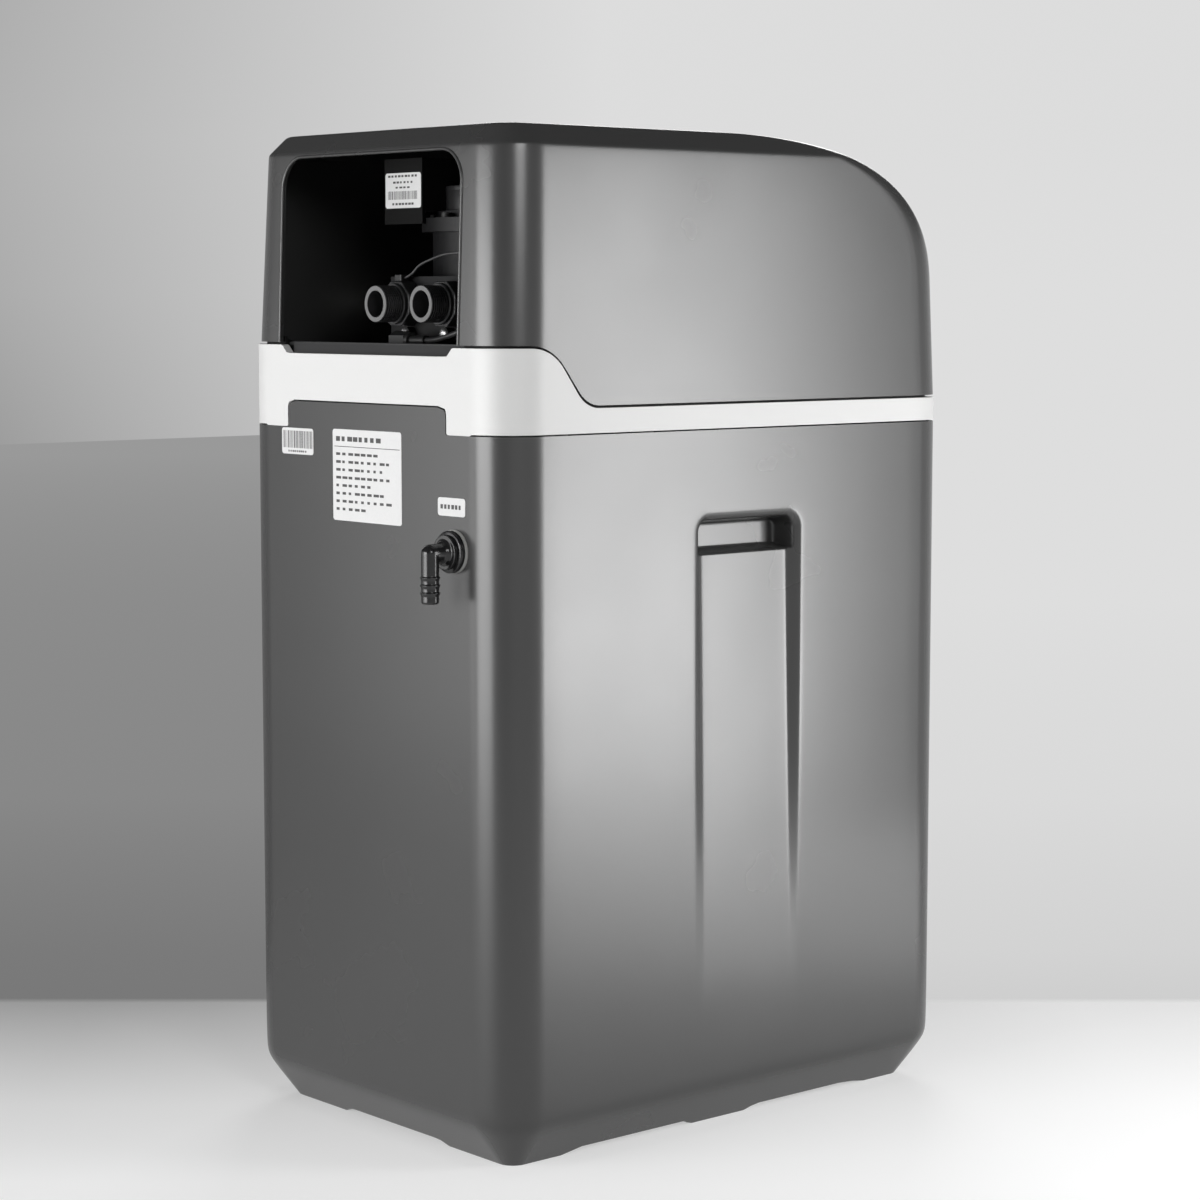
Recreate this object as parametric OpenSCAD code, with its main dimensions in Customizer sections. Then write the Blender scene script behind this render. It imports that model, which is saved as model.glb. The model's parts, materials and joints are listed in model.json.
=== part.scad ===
// Cabinet water softener: brine cabinet, collar, hood with a salt lid, resin tank and control valve.
// Frame: +Z up, front towards -Y, origin on the floor at the centre of the whole outline.

/* [Cabinet] */
// Width of the cabinet, side to side
cabinet_w = 310; // [290:1:360]
// Depth of the cabinet, front to rear
cabinet_d = 440; // [420:1:500]
// Height of the cabinet up to its seam with the collar
cabinet_h = 507; // [460:1:600]
// Radius of the vertical corners
corner_r = 36; // [32:1:44]
// Wall of the cabinet
cabinet_wall = 4; // [3:0.5:5]
// Floor of the cabinet, feet included
floor_t = 8; // [7:0.5:12]
// Inset of the base chamfer
base_inset = 24; // [16:1:28]
// Height of the base chamfer
base_h = 32; // [24:1:40]
// Height of the arches between the feet
foot_relief = 4; // [2:0.5:4]
// Length of a side arch
side_arch_l = 108; // [80:1:120]
// Width of the arch at the rear and front
rear_arch_w = 114; // [80:1:130]

/* [Side grips] */
// Width of a grip
grip_w = 102; // [90:1:120]
// Place of the grips ahead of the cabinet's middle
grip_ahead = 7; // [0:1:20]
// Drop of the grip's top edge below the seam
grip_drop = 60; // [50:1:80]
// Length of the tapering channel under a grip
grip_l = 347; // [300:1:360]
// Depth of the channel at its top
grip_channel_depth = 7; // [5:0.5:8]
// Depth of the finger pocket behind the channel
grip_pocket_depth = 14; // [8:0.5:15]
// Height of the finger pocket
grip_pocket_h = 29; // [24:1:36]
// Width of the channel's sloping sides
grip_slope = 8; // [4:0.5:10]
// Corner radius of a grip
grip_r = 13; // [10:0.5:13]

/* [Collar] */
// Wall of the collar
collar_wall = 6; // [5:0.5:7]
// Height of the collar at the front and sides
collar_front_h = 18; // [14:1:24]
// Height of the collar at the rear
collar_rear_h = 59; // [52:1:66]
// Distance from the rear face to the foot of the step
step_foot = 85; // [75:1:95]
// Slope of the step, in degrees
step_angle = 54; // [48:1:60]
// Radius at the top of the step
step_top_r = 34; // [26:1:36]
// Radius at the foot of the step
step_foot_r = 24; // [18:1:26]
// Width of the inner ledge that carries the deck
ledge_w = 18; // [15:1:18]
// Width of the tongue at the rear of the cabinet
tongue_w = 185; // [160:1:200]
// Height of that tongue
tongue_h = 18.5; // [14:0.5:22]
// Width of the sill in the rear of the collar
sill_w = 200; // [180:1:204]
// Depth of that sill
sill_drop = 6; // [4:0.5:8]

/* [Hood] */
// Height of the hood's top above the seam
hood_rise = 210; // [205:1:230]
// Wall of the hood
hood_wall = 3; // [2.5:0.5:3.5]
// Inset of the hood's sides at the bevel
hood_draft = 6.5; // [4:0.1:7.5]
// Height of the bevel round the top
bevel_h = 15; // [10:1:16]
// Width of the bevel round the top
bevel_w = 14; // [10:1:18]
// Length of the flat top, from the rear face
top_flat_l = 212; // [200:1:230]
// Height of the curved nose
nose_h = 111; // [100:1:130]
// Fullness of the nose curve
nose_power = 2.6; // [2.2:0.1:3]
// Width of the rear opening
bay_w = 210; // [200:1:220]
// Drop of the opening's top edge below the hood's top
bay_drop = 18; // [16:1:26]
// Corner radius of the rear opening
bay_r = 19; // [10:1:20]
// Open seam between hood and collar
hood_gap = 1.8; // [1:0.1:2.5]

/* [Salt lid] */
// Distance from the rear face to the lid's hinge
hinge_back = 240; // [236:1:250]
// Width of the lid
lid_w = 236; // [216:1:236]
// Width of the hinge barrel
barrel_w = 204; // [190:1:208]
// Length of each fixed hinge boss beside the barrel
hinge_boss_l = 12.4; // [8:0.1:13]
// Radius of the hinge barrel
barrel_r = 5; // [4.5:0.1:5.5]
// Radius of the hinge pins
hinge_pin_r = 2.5; // [2:0.1:2.8]
// Height of the fixed strip below the lid
lid_strip_h = 20; // [14:1:30]
// Open seam round the lid
lid_gap = 0.8; // [0.6:0.1:1.2]
// Width of the rest under the lid's edge
lid_rest_w = 8; // [6:0.5:10]

/* [Pipe ports] */
// Radius over the thread of a port
port_r = 13.2; // [12:0.1:14]
// Bore radius of a port
port_bore_r = 9.4; // [8.5:0.1:10]
// Distance between the two port axes
port_pitch = 53.2; // [50:0.2:60]
// Height of the port axes above the seam
port_rise = 88.5; // [86:0.5:92]
// Recess of the port ends behind the rear face
port_recess = 30; // [26:1:36]
// Length of the threaded end
thread_l = 18; // [15:0.5:20]
// Width across flats of the port's collar
port_flats = 32; // [30:0.5:34]
// Length of the port's collar
port_collar_l = 12; // [10:0.5:13]

/* [Resin tank] */
// Radius of the tank
tank_r = 127; // [118:1:128]
// Wall of the tank
tank_wall = 5; // [4:0.5:6]
// Rise of the tank's mouth above the seam
tank_rise = 13; // [8:1:15]
// Radius of the tank's neck
neck_r = 40; // [38:1:42]
// Radius of the tank's mouth
mouth_r = 31.5; // [30:0.5:33]
// Radius of the riser tube
riser_r = 13.35; // [12:0.05:14]

/* [Valve] */
// Radius of the valve's flange
flange_r = 66; // [64:1:67]
// Radius of the rotor shaft
shaft_r = 6; // [5:0.5:7]
// Gear module
gear_module = 1.5; // [1.45:0.05:1.55]
// Teeth on the drive gear
gear_teeth = 56; // [54:1:56]
// Teeth on the motor pinion
pinion_teeth = 14; // [13:1:14]
// Face width of the gears
gear_face = 8; // [6:0.5:9]

/* [Overflow] */
// Distance of the overflow from the side of the cabinet
overflow_inset = 53; // [48:1:60]
// Drop of the overflow below the seam
overflow_drop = 79; // [70:1:90]
// Radius of the elbow's tube
elbow_r = 6.15; // [5.5:0.05:6.6]
// Bore radius of the elbow
elbow_bore_r = 4.3; // [3.5:0.1:4.8]
// Radius over the hose barbs
barb_r = 7; // [6.8:0.1:7.5]
// Reach of the elbow's leg behind the rear face
elbow_out = 21; // [20:0.5:24]
// Drop of the leg's end below the elbow's axis
elbow_drop = 34.4; // [30:0.2:40]

/* [Brine side] */
// Outer radius of the brine well
well_r = 40; // [36:1:42]
// Wall of the brine well
well_wall = 2; // [1.5:0.5:3]
// Height of the salt grid above the cabinet floor
grid_rise = 76; // [60:1:90]
// Travel of the float
float_travel = 40; // [30:1:45]
// Radius of the float
float_r = 17; // [14:0.5:17.5]
// Radius of the float rod
rod_r = 2; // [1.5:0.1:2.5]

/* [Control panel] */
// Width of the control housing
panel_w = 140; // [130:1:150]
// Height of the control housing
panel_h = 60; // [58:1:64]
// Depth of the control housing
panel_depth = 28; // [26:1:30]
// Lean of the panel, in degrees
panel_lean = 20; // [15:1:25]
// Radius of a key
key_r = 6; // [5:0.1:7]
// Distance between keys
key_pitch = 26; // [20:1:28]
// Travel of a key
key_travel = 1; // [0.8:0.1:1.2]

/* [Hidden] */
$fn = 48;

// Clearances
run_fit = 0.05;
seat_fit = 0.1;
free_gap = 0.3;
assembly_gap = 0.5;
over = 1;

// Main planes
rear_y = cabinet_d / 2;
front_y = -cabinet_d / 2;
side_x = cabinet_w / 2;
seam_z = cabinet_h;
top_z = seam_z + hood_rise;
collar_low_z = seam_z + collar_front_h;
collar_high_z = seam_z + collar_rear_h;
elbow_reach = elbow_out + barb_r;
centre_shift = -elbow_reach / 2;

// Inset of the cabinet floor's inner edge
base_floor_inset = base_inset * (1 - floor_t / base_h) + cabinet_wall;

// Rear step of the collar
step_foot_y = rear_y - step_foot;
step_rise = collar_rear_h - collar_front_h;
step_straight_z = step_rise - (step_top_r + step_foot_r) * (1 - cos(step_angle));
step_top_y = step_foot_y + (step_top_r + step_foot_r) * sin(step_angle) + step_straight_z / tan(step_angle);
step_arc_parts = 6;

// Hood, nose and lid
nose_y = rear_y - top_flat_l;
nose_z = top_z - nose_h;
nose_depth = nose_y - front_y - 2;
nose_parts = 12;
bevel_z = top_z - bevel_h;
hinge_y = rear_y - hinge_back;
hinge_z = top_z - barrel_r - 0.4;
hinge_slot = barrel_r + 1;
lid_rear_y = hinge_y - barrel_r - 8;
lid_low_z = collar_low_z + lid_strip_h;
rest_t = 2.6;
hinge_play = 0.4;
hinge_boss_x = barrel_w / 2 + lid_gap + hinge_play + hinge_boss_l / 2;
hinge_end_x = hinge_boss_x + hinge_boss_l / 2;
pin_grip = 10;
bay_top_z = top_z - bay_drop;
rim_in = collar_wall + free_gap;
rim_out = rim_in + 2.5;
rim_drop = 10;
rim_rise = 6;

// Deck
deck_in = rim_out + 1.2;
deck_t = 4;
deck_skirt = 2.5;
deck_ledge_t = 4;
deck_z = collar_high_z - 14;
deck_top_z = deck_z + deck_t;
deck_lip_z = collar_high_z + 2;
deck_hole_clear = 2;
deck_post_r = 5;
deck_post_in = deck_in + deck_post_r + 2;
deck_screw_r = 2;

// Tank and the valve axis above it
tank_clear = 4;
tank_y = rear_y - cabinet_wall - tank_clear - tank_r;
tank_low_z = floor_t + 6;
tank_top_z = seam_z + tank_rise;
deck_front_y = tank_y - tank_r - 6;
dome_h = 0.42 * tank_r;
neck_h = 22;
neck_thread_l = 16;
dome_parts = 10;
boot_r = tank_r - 5;
boot_low_r = rear_y - base_floor_inset - tank_y - 2;
boot_h = 50;

// Valve levels
port_z = seam_z + port_rise;
port_x = port_pitch / 2;
port_end_y = rear_y - port_recess;
port_collar_y = port_end_y - thread_l - port_collar_l;
spigot_r = port_r - 0.2;
spigot_l = 22;
manifold_low_z = port_z - 27;
manifold_high_z = port_z + 19.5;
trunk_r = flange_r - 8;
body_low_r = neck_r + 2;
flange_low_z = port_z + 51.5;
flange_mid_z = flange_low_z + 6;
flange_top_z = flange_mid_z + 4;
cap_neck_z = flange_top_z + 5;
disc_r = trunk_r - 16;
disc_t = 7;
disc_low_z = flange_low_z - 13;
cap_screw_n = 6;
cap_screw_r = flange_r - 5;

// Side ports of the valve and the injector at its front
side_port_x = trunk_r - 16;
side_port_y = tank_y - 20;
side_port_z = port_z - 4;
side_port_r = 7;
side_port_l = 30;
fitting_end_x = body_low_r + 36;
fitting_bore_r = 2.8;
injector_y = tank_y - trunk_r - 8;
injector_r = 10;
injector_l = 32;

// Gear train on top of the valve
gear_low_z = cap_neck_z + 4;
gear_top_z = gear_low_z + gear_face;
housing_top_z = gear_top_z + 3;
gear_cover_z = housing_top_z + 3;
gear_pitch_r = gear_module * gear_teeth / 2;
pinion_pitch_r = gear_module * pinion_teeth / 2;
gear_centres = gear_pitch_r + pinion_pitch_r;
pinion_angle = 36.87;
pinion_x = gear_centres * cos(pinion_angle);
pinion_y = tank_y + gear_centres * sin(pinion_angle);
tooth_tip = 0.8 * gear_module;
tooth_root = 1.15 * gear_module;
tooth_play = 0.2;
pressure_angle = 20;
housing_wall = 3;
housing_r = gear_pitch_r + tooth_tip + 3 + housing_wall;
lobe_r = pinion_pitch_r + tooth_tip + 2 + housing_wall;
pinion_shaft_r = 2;
motor_r = 14;
motor_h = 17;
motor_box_w = 45;
motor_box_x = 45.5;
motor_box_rear_y = tank_y + flange_r - 1;
motor_box_d = 50;
motor_box_low_z = flange_low_z + 6;
motor_box_top_z = gear_cover_z + motor_h + 3;
motor_box_wall = 2.5;

// Meter turbine in the outlet
turbine_r = port_bore_r - 0.7;
turbine_l = 9;
turbine_hub_r = 2.6;
turbine_axle_r = 1.2;
turbine_y = port_end_y - 32;
turbine_blades = 6;
web_t = 2;
screw_boss_r = 4.6;
screw_boss_l = 6;
port_screw_x = port_x - 4;
port_screw_z = port_z - port_flats / 2 - 5;
sensor_size = 8;
sensor_h = 5;

// Overflow
overflow_x = -(side_x - overflow_inset);
overflow_z = seam_z - overflow_drop;
gasket_t = 2;
gasket_r = 15;
grommet_flange_r = 14.5;
grommet_flange_t = 4;
grommet_neck_r = 9.6;
elbow_flange_r = 12;
elbow_flange_t = 3;
locknut_t = 6;
locknut_r = 15;
barb_n = 3;
barb_pitch = 5.3;
barb_end = 5.5;
elbow_y = rear_y + elbow_out;

// Brine well, float valve and grid
well_side_gap = 1;
well_front_gap = 8;
well_x = side_x - base_floor_inset - well_side_gap - well_r;
well_y = front_y + base_floor_inset + well_front_gap + well_r;
well_top_z = seam_z - 9;
well_bore_r = well_r - well_wall;
float_valve_r = 25;
float_valve_z = seam_z - 67;
float_valve_h = 38;
rod_x = well_x + 15;
tube_x = well_x - 14;
tube_r = 5;
rod_low_z = floor_t + 180;
float_h = 50;
grid_z = floor_t + grid_rise;
grid_t = 4;
grid_hole_r = 4.5;
grid_hole_pitch = 22;
grid_leg_r = 6;
grid_clear = 4;

// Control housing, in its own leaning frame
panel_y = hinge_y - 16;
panel_z = top_z - 55;
panel_t = 3;
housing_skin = 2.5;
window_w = 72;
window_h = 24;
window_y = 11;
lens_t = 2;
key_y = -17;
key_collar = 1.6;
key_proud = 1.5;
board_z = -14;
board_t = 1.6;
arm_x = 34;
arm_w = 10;
arm_h = 10;
gland_r = 4;
gland_l = 14;
power_gland = [-60, panel_y + panel_depth + 10, panel_z - 7];
meter_gland = [-46, panel_y + panel_depth + 10, panel_z - 2];
glands = [power_gland, meter_gland];

// Cords: hand-chosen routes
cord_sides = 8;
lead_r = 2;
meter_lead_r = 1;
brine_line_r = 4.75;
socket_y = port_end_y - 10;
socket_z = deck_top_z + 14;
socket_hex_l = 17;
socket_hex_r = 6.4;
socket_ring_l = 3.5;
socket_ring_r = 5.5;
socket_neck_l = 16.5;
socket_neck_r = 3.5;
socket_x = 17;
socket_end_x = socket_x - socket_hex_l - socket_ring_l - socket_neck_l;
cradle_w = 8;
socket_exit = [socket_end_x, socket_y, socket_z];
trunk_side = [-trunk_r, tank_y, flange_low_z];
power_route = [
    socket_exit, socket_exit + [-14, 0, 1], socket_exit + [-38, -4, 8], socket_exit + [-56, -20, 24],
    trunk_side + [-28, 43, -31], trunk_side + [-28, -1, -7], trunk_side + [-20, -41, 5],
    power_gland + [-3, 18, 0], power_gland
];
sensor_exit = [port_x - sensor_size / 2, port_collar_y + 6, port_z + port_flats / 2 + sensor_h / 2];
meter_route = [
    sensor_exit, sensor_exit + [-6.6, -1, 3], sensor_exit + [-14.6, -2, 9], sensor_exit + [-26.6, -3, 13],
    sensor_exit + [-41.6, -4, 16.5], sensor_exit + [-60.6, -8, 18], sensor_exit + [-84.6, -20, 22],
    trunk_side + [-20, 27, -1], trunk_side + [-12, -37, 11], meter_gland + [-3, 16, 0], meter_gland
];
fitting_exit = [fitting_end_x, side_port_y, side_port_z];
well_head = [well_x, well_y, well_top_z];
brine_route = [
    fitting_exit, fitting_exit + [12, -3, 0.5], fitting_exit + [26, -25, 2.5], fitting_exit + [30, -65, 8.5],
    fitting_exit + [30, -115, 0.5], well_head + [14, 54, 62], well_head + [4, 20, 30],
    [tube_x, well_y, float_valve_z + float_valve_h + 24], [tube_x, well_y, float_valve_z + float_valve_h]
];

// Shared outlines

// Rounded rectangle, centred
module outline(w, d, r) {
    square([w - 2 * r, d], center = true);
    square([w, d - 2 * r], center = true);
    for (x = [-1, 1], y = [-1, 1])
        translate([x * (w / 2 - r), y * (d / 2 - r)]) circle(r);
}

// Plan of the cabinet, moved inwards
module plan(inset) {
    outline(cabinet_w - 2 * inset, cabinet_d - 2 * inset, corner_r - inset);
}

// Upright wall that follows the plan between two insets and two heights
module plan_wall(inset_a, inset_b, z_a, z_b) {
    translate([0, 0, z_a]) linear_extrude(z_b - z_a) difference() {
        plan(inset_a);
        plan(inset_b);
    }
}

// Slab of the plan between two heights
module plan_slab(inset, z_a, z_b) {
    translate([0, 0, z_a]) linear_extrude(z_b - z_a) plan(inset);
}

// Extrudes a Y-Z outline across the whole width
module across(width) {
    rotate([90, 0, 90]) linear_extrude(width, center = true) children();
}

// Extrudes an X-Z outline along +Y from a given plane
module backwards(y, depth) {
    translate([0, y + depth, 0]) rotate([90, 0, 0]) linear_extrude(depth) children();
}

// Cylinder along +Y that starts at a point
module cylinder_y(x, y, z, r, length) {
    translate([x, y, z]) rotate([-90, 0, 0]) cylinder(r = r, h = length);
}

// Cylinder along +X that starts at a point
module cylinder_x(x, y, z, r, length) {
    translate([x, y, z]) rotate([0, 90, 0]) cylinder(r = r, h = length);
}

// Moves the cabinet's own frame to the part's frame
module place() {
    translate([0, centre_shift, 0]) children();
}

// Moves to the tank and valve axis
module on_valve(z) {
    translate([0, tank_y, z]) children();
}

// Parting line of collar and hood, moved up square to itself
function step_line(lift) = concat(
    [for (i = [0:step_arc_parts]) let (a = step_angle * i / step_arc_parts)
        [step_foot_y + (step_foot_r - lift) * sin(a),
         collar_low_z + step_foot_r - (step_foot_r - lift) * cos(a)]],
    [for (i = [step_arc_parts:-1:0]) let (a = step_angle * i / step_arc_parts)
        [step_top_y - (step_top_r + lift) * sin(a),
         collar_high_z - step_top_r + (step_top_r + lift) * cos(a)]]
);

// Everything under the parting line
module under_step(lift, floor_z) {
    line = step_line(lift);
    last = line[len(line) - 1];
    across(cabinet_w + 2 * over) polygon(concat(
        [[front_y - over, floor_z], [front_y - over, line[0][1]]], line,
        [[rear_y + over, last[1]], [rear_y + over, floor_z]]));
}

// Band that runs along the parting line
module step_band(low, high) {
    difference() {
        under_step(high, seam_z - 40);
        under_step(low, seam_z - 41);
    }
}

// Hood form: slices of the plan, drawn in by the draft, the bevel and the nose curve
function nose_front(angle, inset) = nose_y - (nose_depth - inset) * pow(max(cos(angle), 0), 2 / nose_power);
function nose_height(angle, inset) = nose_z + (nose_h - inset) * pow(max(sin(angle), 0), 2 / nose_power);
function bevel_at(z, inset) = max(0, (z + inset - bevel_z) / bevel_h) * bevel_w;
function draft_at(z) = hood_draft * max(0, min(z, bevel_z) - collar_low_z) / (bevel_z - collar_low_z);

module hood_slice(z, front, inset) {
    drawn_in = draft_at(z) + bevel_at(z, inset) + inset;
    rear = rear_y - drawn_in;
    translate([0, (front + rear) / 2, z]) linear_extrude(0.01)
        outline(cabinet_w - 2 * drawn_in, rear - front, max(corner_r - bevel_at(z, inset) - inset, 8), $fn = 32);
}

module hood_form(inset) {
    hull() {
        hood_slice(seam_z - 2, front_y + inset, inset);
        for (i = [0:nose_parts])
            hood_slice(nose_height(90 * i / nose_parts, inset), nose_front(90 * i / nose_parts, inset), inset);
    }
}

// Block that holds the lid, grown by a margin at its sides, rear and lower edge
module lid_block(margin) {
    translate([-lid_w / 2 - margin, front_y - over, lid_low_z - margin])
        cube([lid_w + 2 * margin, lid_rear_y + margin - front_y + over, top_z]);
}

// Cabinet

// Finger grip on the -X side
module grip_cut() {
    top = seam_z - grip_drop;
    floor_w = grip_w - 2 * grip_slope;
    translate([0, -grip_ahead, 0]) rotate([90, 0, 90]) {
        hull() {
            translate([0, top - grip_l / 2, -side_x - 0.01]) linear_extrude(0.01)
                outline(grip_w, grip_l, grip_r, $fn = 32);
            translate([0, top - grip_pocket_h / 2 - grip_slope / 2, -side_x + grip_channel_depth])
                linear_extrude(0.01) outline(floor_w, grip_pocket_h - grip_slope, grip_r / 2, $fn = 32);
        }
        hull() {
            translate([0, top - grip_pocket_h / 2, -side_x + grip_channel_depth / 2])
                linear_extrude(0.01) outline(floor_w, grip_pocket_h - grip_slope / 2, grip_r / 2, $fn = 32);
            translate([0, top - grip_pocket_h / 2, -side_x + grip_channel_depth + grip_pocket_depth])
                linear_extrude(0.01) outline(floor_w - 4, grip_pocket_h - grip_slope, grip_r / 2, $fn = 32);
        }
    }
}

// Inner skin behind the grip
module grip_skin() {
    top = seam_z - grip_drop;
    deep = grip_channel_depth + cabinet_wall;
    translate([-side_x, -grip_w / 2 - cabinet_wall - grip_ahead, top - grip_pocket_h - cabinet_wall])
        cube([deep + grip_pocket_depth, grip_w + 2 * cabinet_wall, grip_pocket_h + 2 * cabinet_wall]);
    translate([0, -grip_ahead, 0]) rotate([90, 0, 0]) linear_extrude(grip_w + 2 * cabinet_wall, center = true)
        polygon([[-side_x, top - grip_l], [-side_x + cabinet_wall, top - grip_l],
                 [-side_x + deep, top - grip_pocket_h], [-side_x, top - grip_pocket_h]]);
}

module cabinet_outside() {
    hull() {
        linear_extrude(0.01) plan(base_inset, $fn = 32);
        translate([0, 0, base_h]) linear_extrude(0.01) plan(0, $fn = 32);
    }
    plan_slab(0, base_h, seam_z);
}

module cabinet_inside() {
    hull() {
        translate([0, 0, floor_t]) linear_extrude(0.01) plan(base_floor_inset, $fn = 32);
        translate([0, 0, base_h]) linear_extrude(0.01) plan(cabinet_wall, $fn = 32);
    }
    plan_slab(cabinet_wall, base_h - 0.01, seam_z + over);
}

// Rear tongue, or its notch when grown
module tongue(grow) {
    r = 6;
    backwards(rear_y - cabinet_wall - grow, cabinet_wall + 2 * grow) {
        translate([0, seam_z + (tongue_h - r + grow) / 2 - over / 2])
            square([tongue_w + 2 * grow, tongue_h - r + grow + over], center = true);
        translate([0, seam_z + tongue_h / 2]) square([tongue_w - 2 * r, tongue_h + 2 * grow], center = true);
        for (s = [-1, 1]) translate([s * (tongue_w / 2 - r), seam_z + tongue_h - r]) circle(r + grow);
    }
}

module cabinet_shell() {
    arch_gap = 64;
    arch_y = (side_arch_l + arch_gap) / 2;
    color("dimgray") place() {
        difference() {
            cabinet_outside();
            difference() {
                cabinet_inside();
                grip_skin();
                mirror([1, 0, 0]) grip_skin();
            }
            grip_cut();
            mirror([1, 0, 0]) grip_cut();
            for (s = [-1, 1])
                translate([-side_x, s * arch_y - side_arch_l / 2, -over])
                    cube([cabinet_w, side_arch_l, foot_relief + over]);
            translate([-rear_arch_w / 2, front_y, -over]) cube([rear_arch_w, cabinet_d, foot_relief + over]);
            cylinder_y(overflow_x, rear_y - cabinet_wall - over, overflow_z,
                       grommet_neck_r + seat_fit, cabinet_wall + 2 * over);
        }
        tongue(0);
    }
}

// Collar and deck

module sill_cut() {
    low = collar_high_z - sill_drop;
    backwards(rear_y - ledge_w, ledge_w + over)
        polygon([[-sill_w / 2 + sill_drop, low], [sill_w / 2 - sill_drop, low],
                 [sill_w / 2, collar_high_z + over], [-sill_w / 2, collar_high_z + over]]);
}

module collar_band() {
    skirt_in = cabinet_wall + free_gap;
    color("white") place() difference() {
        union() {
            intersection() {
                plan_wall(0, collar_wall, seam_z, collar_high_z + over);
                under_step(0, seam_z - over);
            }
            plan_wall(collar_wall - 0.5, collar_wall + ledge_w, seam_z, seam_z + deck_ledge_t);
            plan_wall(skirt_in, skirt_in + 2.5, seam_z - 12, seam_z + deck_ledge_t);
        }
        tongue(assembly_gap);
        sill_cut();
        deck_screw_spots() translate([0, 0, seam_z - over]) cylinder(r = deck_screw_r, h = deck_ledge_t + 2 * over);
    }
}

// Places of the screws that hold the deck to the collar
module deck_screw_spots() {
    for (s = [-1, 1], y = [deck_front_y + 30, rear_y - step_foot])
        translate([s * (side_x - deck_post_in), y, 0]) children();
}

module valve_deck() {
    behind = rear_y - deck_front_y;
    color([0.06, 0.06, 0.065]) place() difference() {
        union() {
            intersection() {
                union() {
                    plan_slab(deck_in, deck_z, deck_top_z);
                    plan_wall(deck_in, deck_in + deck_skirt, seam_z + deck_ledge_t, deck_z + over);
                }
                translate([-side_x, deck_front_y, seam_z]) cube([cabinet_w, behind, hood_rise]);
            }
            translate([-side_x + deck_in, deck_front_y, seam_z + deck_ledge_t])
                cube([cabinet_w - 2 * deck_in, deck_skirt, deck_z - seam_z - deck_ledge_t + over]);
            intersection() {
                plan_wall(deck_in, deck_in + deck_skirt, deck_z, deck_lip_z);
                translate([-bay_w / 2, 0, deck_z]) cube([bay_w, rear_y, hood_rise]);
            }
            deck_screw_spots() translate([0, 0, seam_z + deck_ledge_t])
                cylinder(r = deck_post_r, h = deck_z + over - seam_z - deck_ledge_t);
            translate([socket_x - socket_hex_l / 2 - cradle_w / 2, socket_y - socket_hex_r, deck_top_z - over])
                cube([cradle_w, 2 * socket_hex_r, socket_z - deck_top_z + over]);
        }
        on_valve(deck_z - over) cylinder(r = body_low_r + deck_hole_clear, h = deck_t + 2 * over);
        translate([socket_x - socket_hex_l / 2, socket_y, socket_z]) rotate([0, 90, 0])
            cylinder(r = socket_hex_r + free_gap, h = cradle_w + 2 * over, center = true);
        deck_screw_spots() translate([0, 0, seam_z]) cylinder(r = deck_screw_r, h = hood_rise);
    }
}

module deck_screws() {
    head_r = 4;
    head_h = 2.6;
    color("silver") place() deck_screw_spots() {
        translate([0, 0, seam_z]) cylinder(r = deck_screw_r - run_fit, h = deck_top_z - seam_z + over);
        translate([0, 0, deck_top_z]) difference() {
            cylinder(r = head_r, h = head_h);
            translate([0, 0, head_h - 1]) cube([6, 1, 3], center = true);
        }
    }
}

// Hood and lid

module rear_opening() {
    low = seam_z;
    high = bay_top_z - bay_r;
    backwards(rear_y - 24, 24 + over) {
        translate([-bay_w / 2, low]) square([bay_w, high - low]);
        translate([-bay_w / 2 + bay_r, low]) square([bay_w - 2 * bay_r, bay_top_z - low]);
        for (s = [-1, 1]) translate([s * (bay_w / 2 - bay_r), high]) circle(bay_r);
    }
}

module hinge_bosses() {
    for (s = [-1, 1]) translate([s * hinge_boss_x, hinge_y, hinge_z]) {
        rotate([0, 90, 0]) cylinder(r = barrel_r, h = hinge_boss_l, center = true);
        translate([0, 0, (barrel_r - 1) / 2]) cube([hinge_boss_l, 2 * barrel_r, barrel_r - 1], center = true);
    }
}

module hood_shell() {
    slot_w = barrel_w + 2 * lid_gap;
    color("dimgray") place() difference() {
        union() {
            difference() {
                hood_form(0);
                union() {
                    difference() {
                        hood_form(hood_wall);
                        lid_block(lid_rest_w);
                    }
                    hood_form(hood_wall + free_gap + rest_t);
                }
                under_step(hood_gap, seam_z - 4 * over);
            }
            intersection() {
                union() {
                    plan_wall(rim_in, rim_out, seam_z, collar_high_z + 20);
                    intersection() {
                        plan_wall(hood_wall - 1, rim_out, seam_z, collar_high_z + 20);
                        step_band(free_gap, rim_rise);
                    }
                }
                step_band(-rim_drop, rim_rise);
                translate([0, 0, seam_z + deck_ledge_t + free_gap]) plan_slab(0, 0, hood_rise);
            }
            hinge_bosses();
        }
        difference() {
            lid_block(lid_gap);
            hood_form(hood_wall + free_gap);
        }
        lid_block(-lid_rest_w);
        translate([-slot_w / 2, hinge_y - hinge_slot - 2, top_z - hood_wall - rest_t - 8])
            cube([slot_w, 2 * hinge_slot + 2, 30]);
        translate([-slot_w / 2, lid_rear_y, top_z - hood_wall - 2 * assembly_gap])
            cube([slot_w, hinge_y - lid_rear_y, 30]);
        rear_opening();
        cylinder_x(-hinge_end_x, hinge_y, hinge_z, hinge_pin_r, 2 * hinge_end_x);
    }
}

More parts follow.
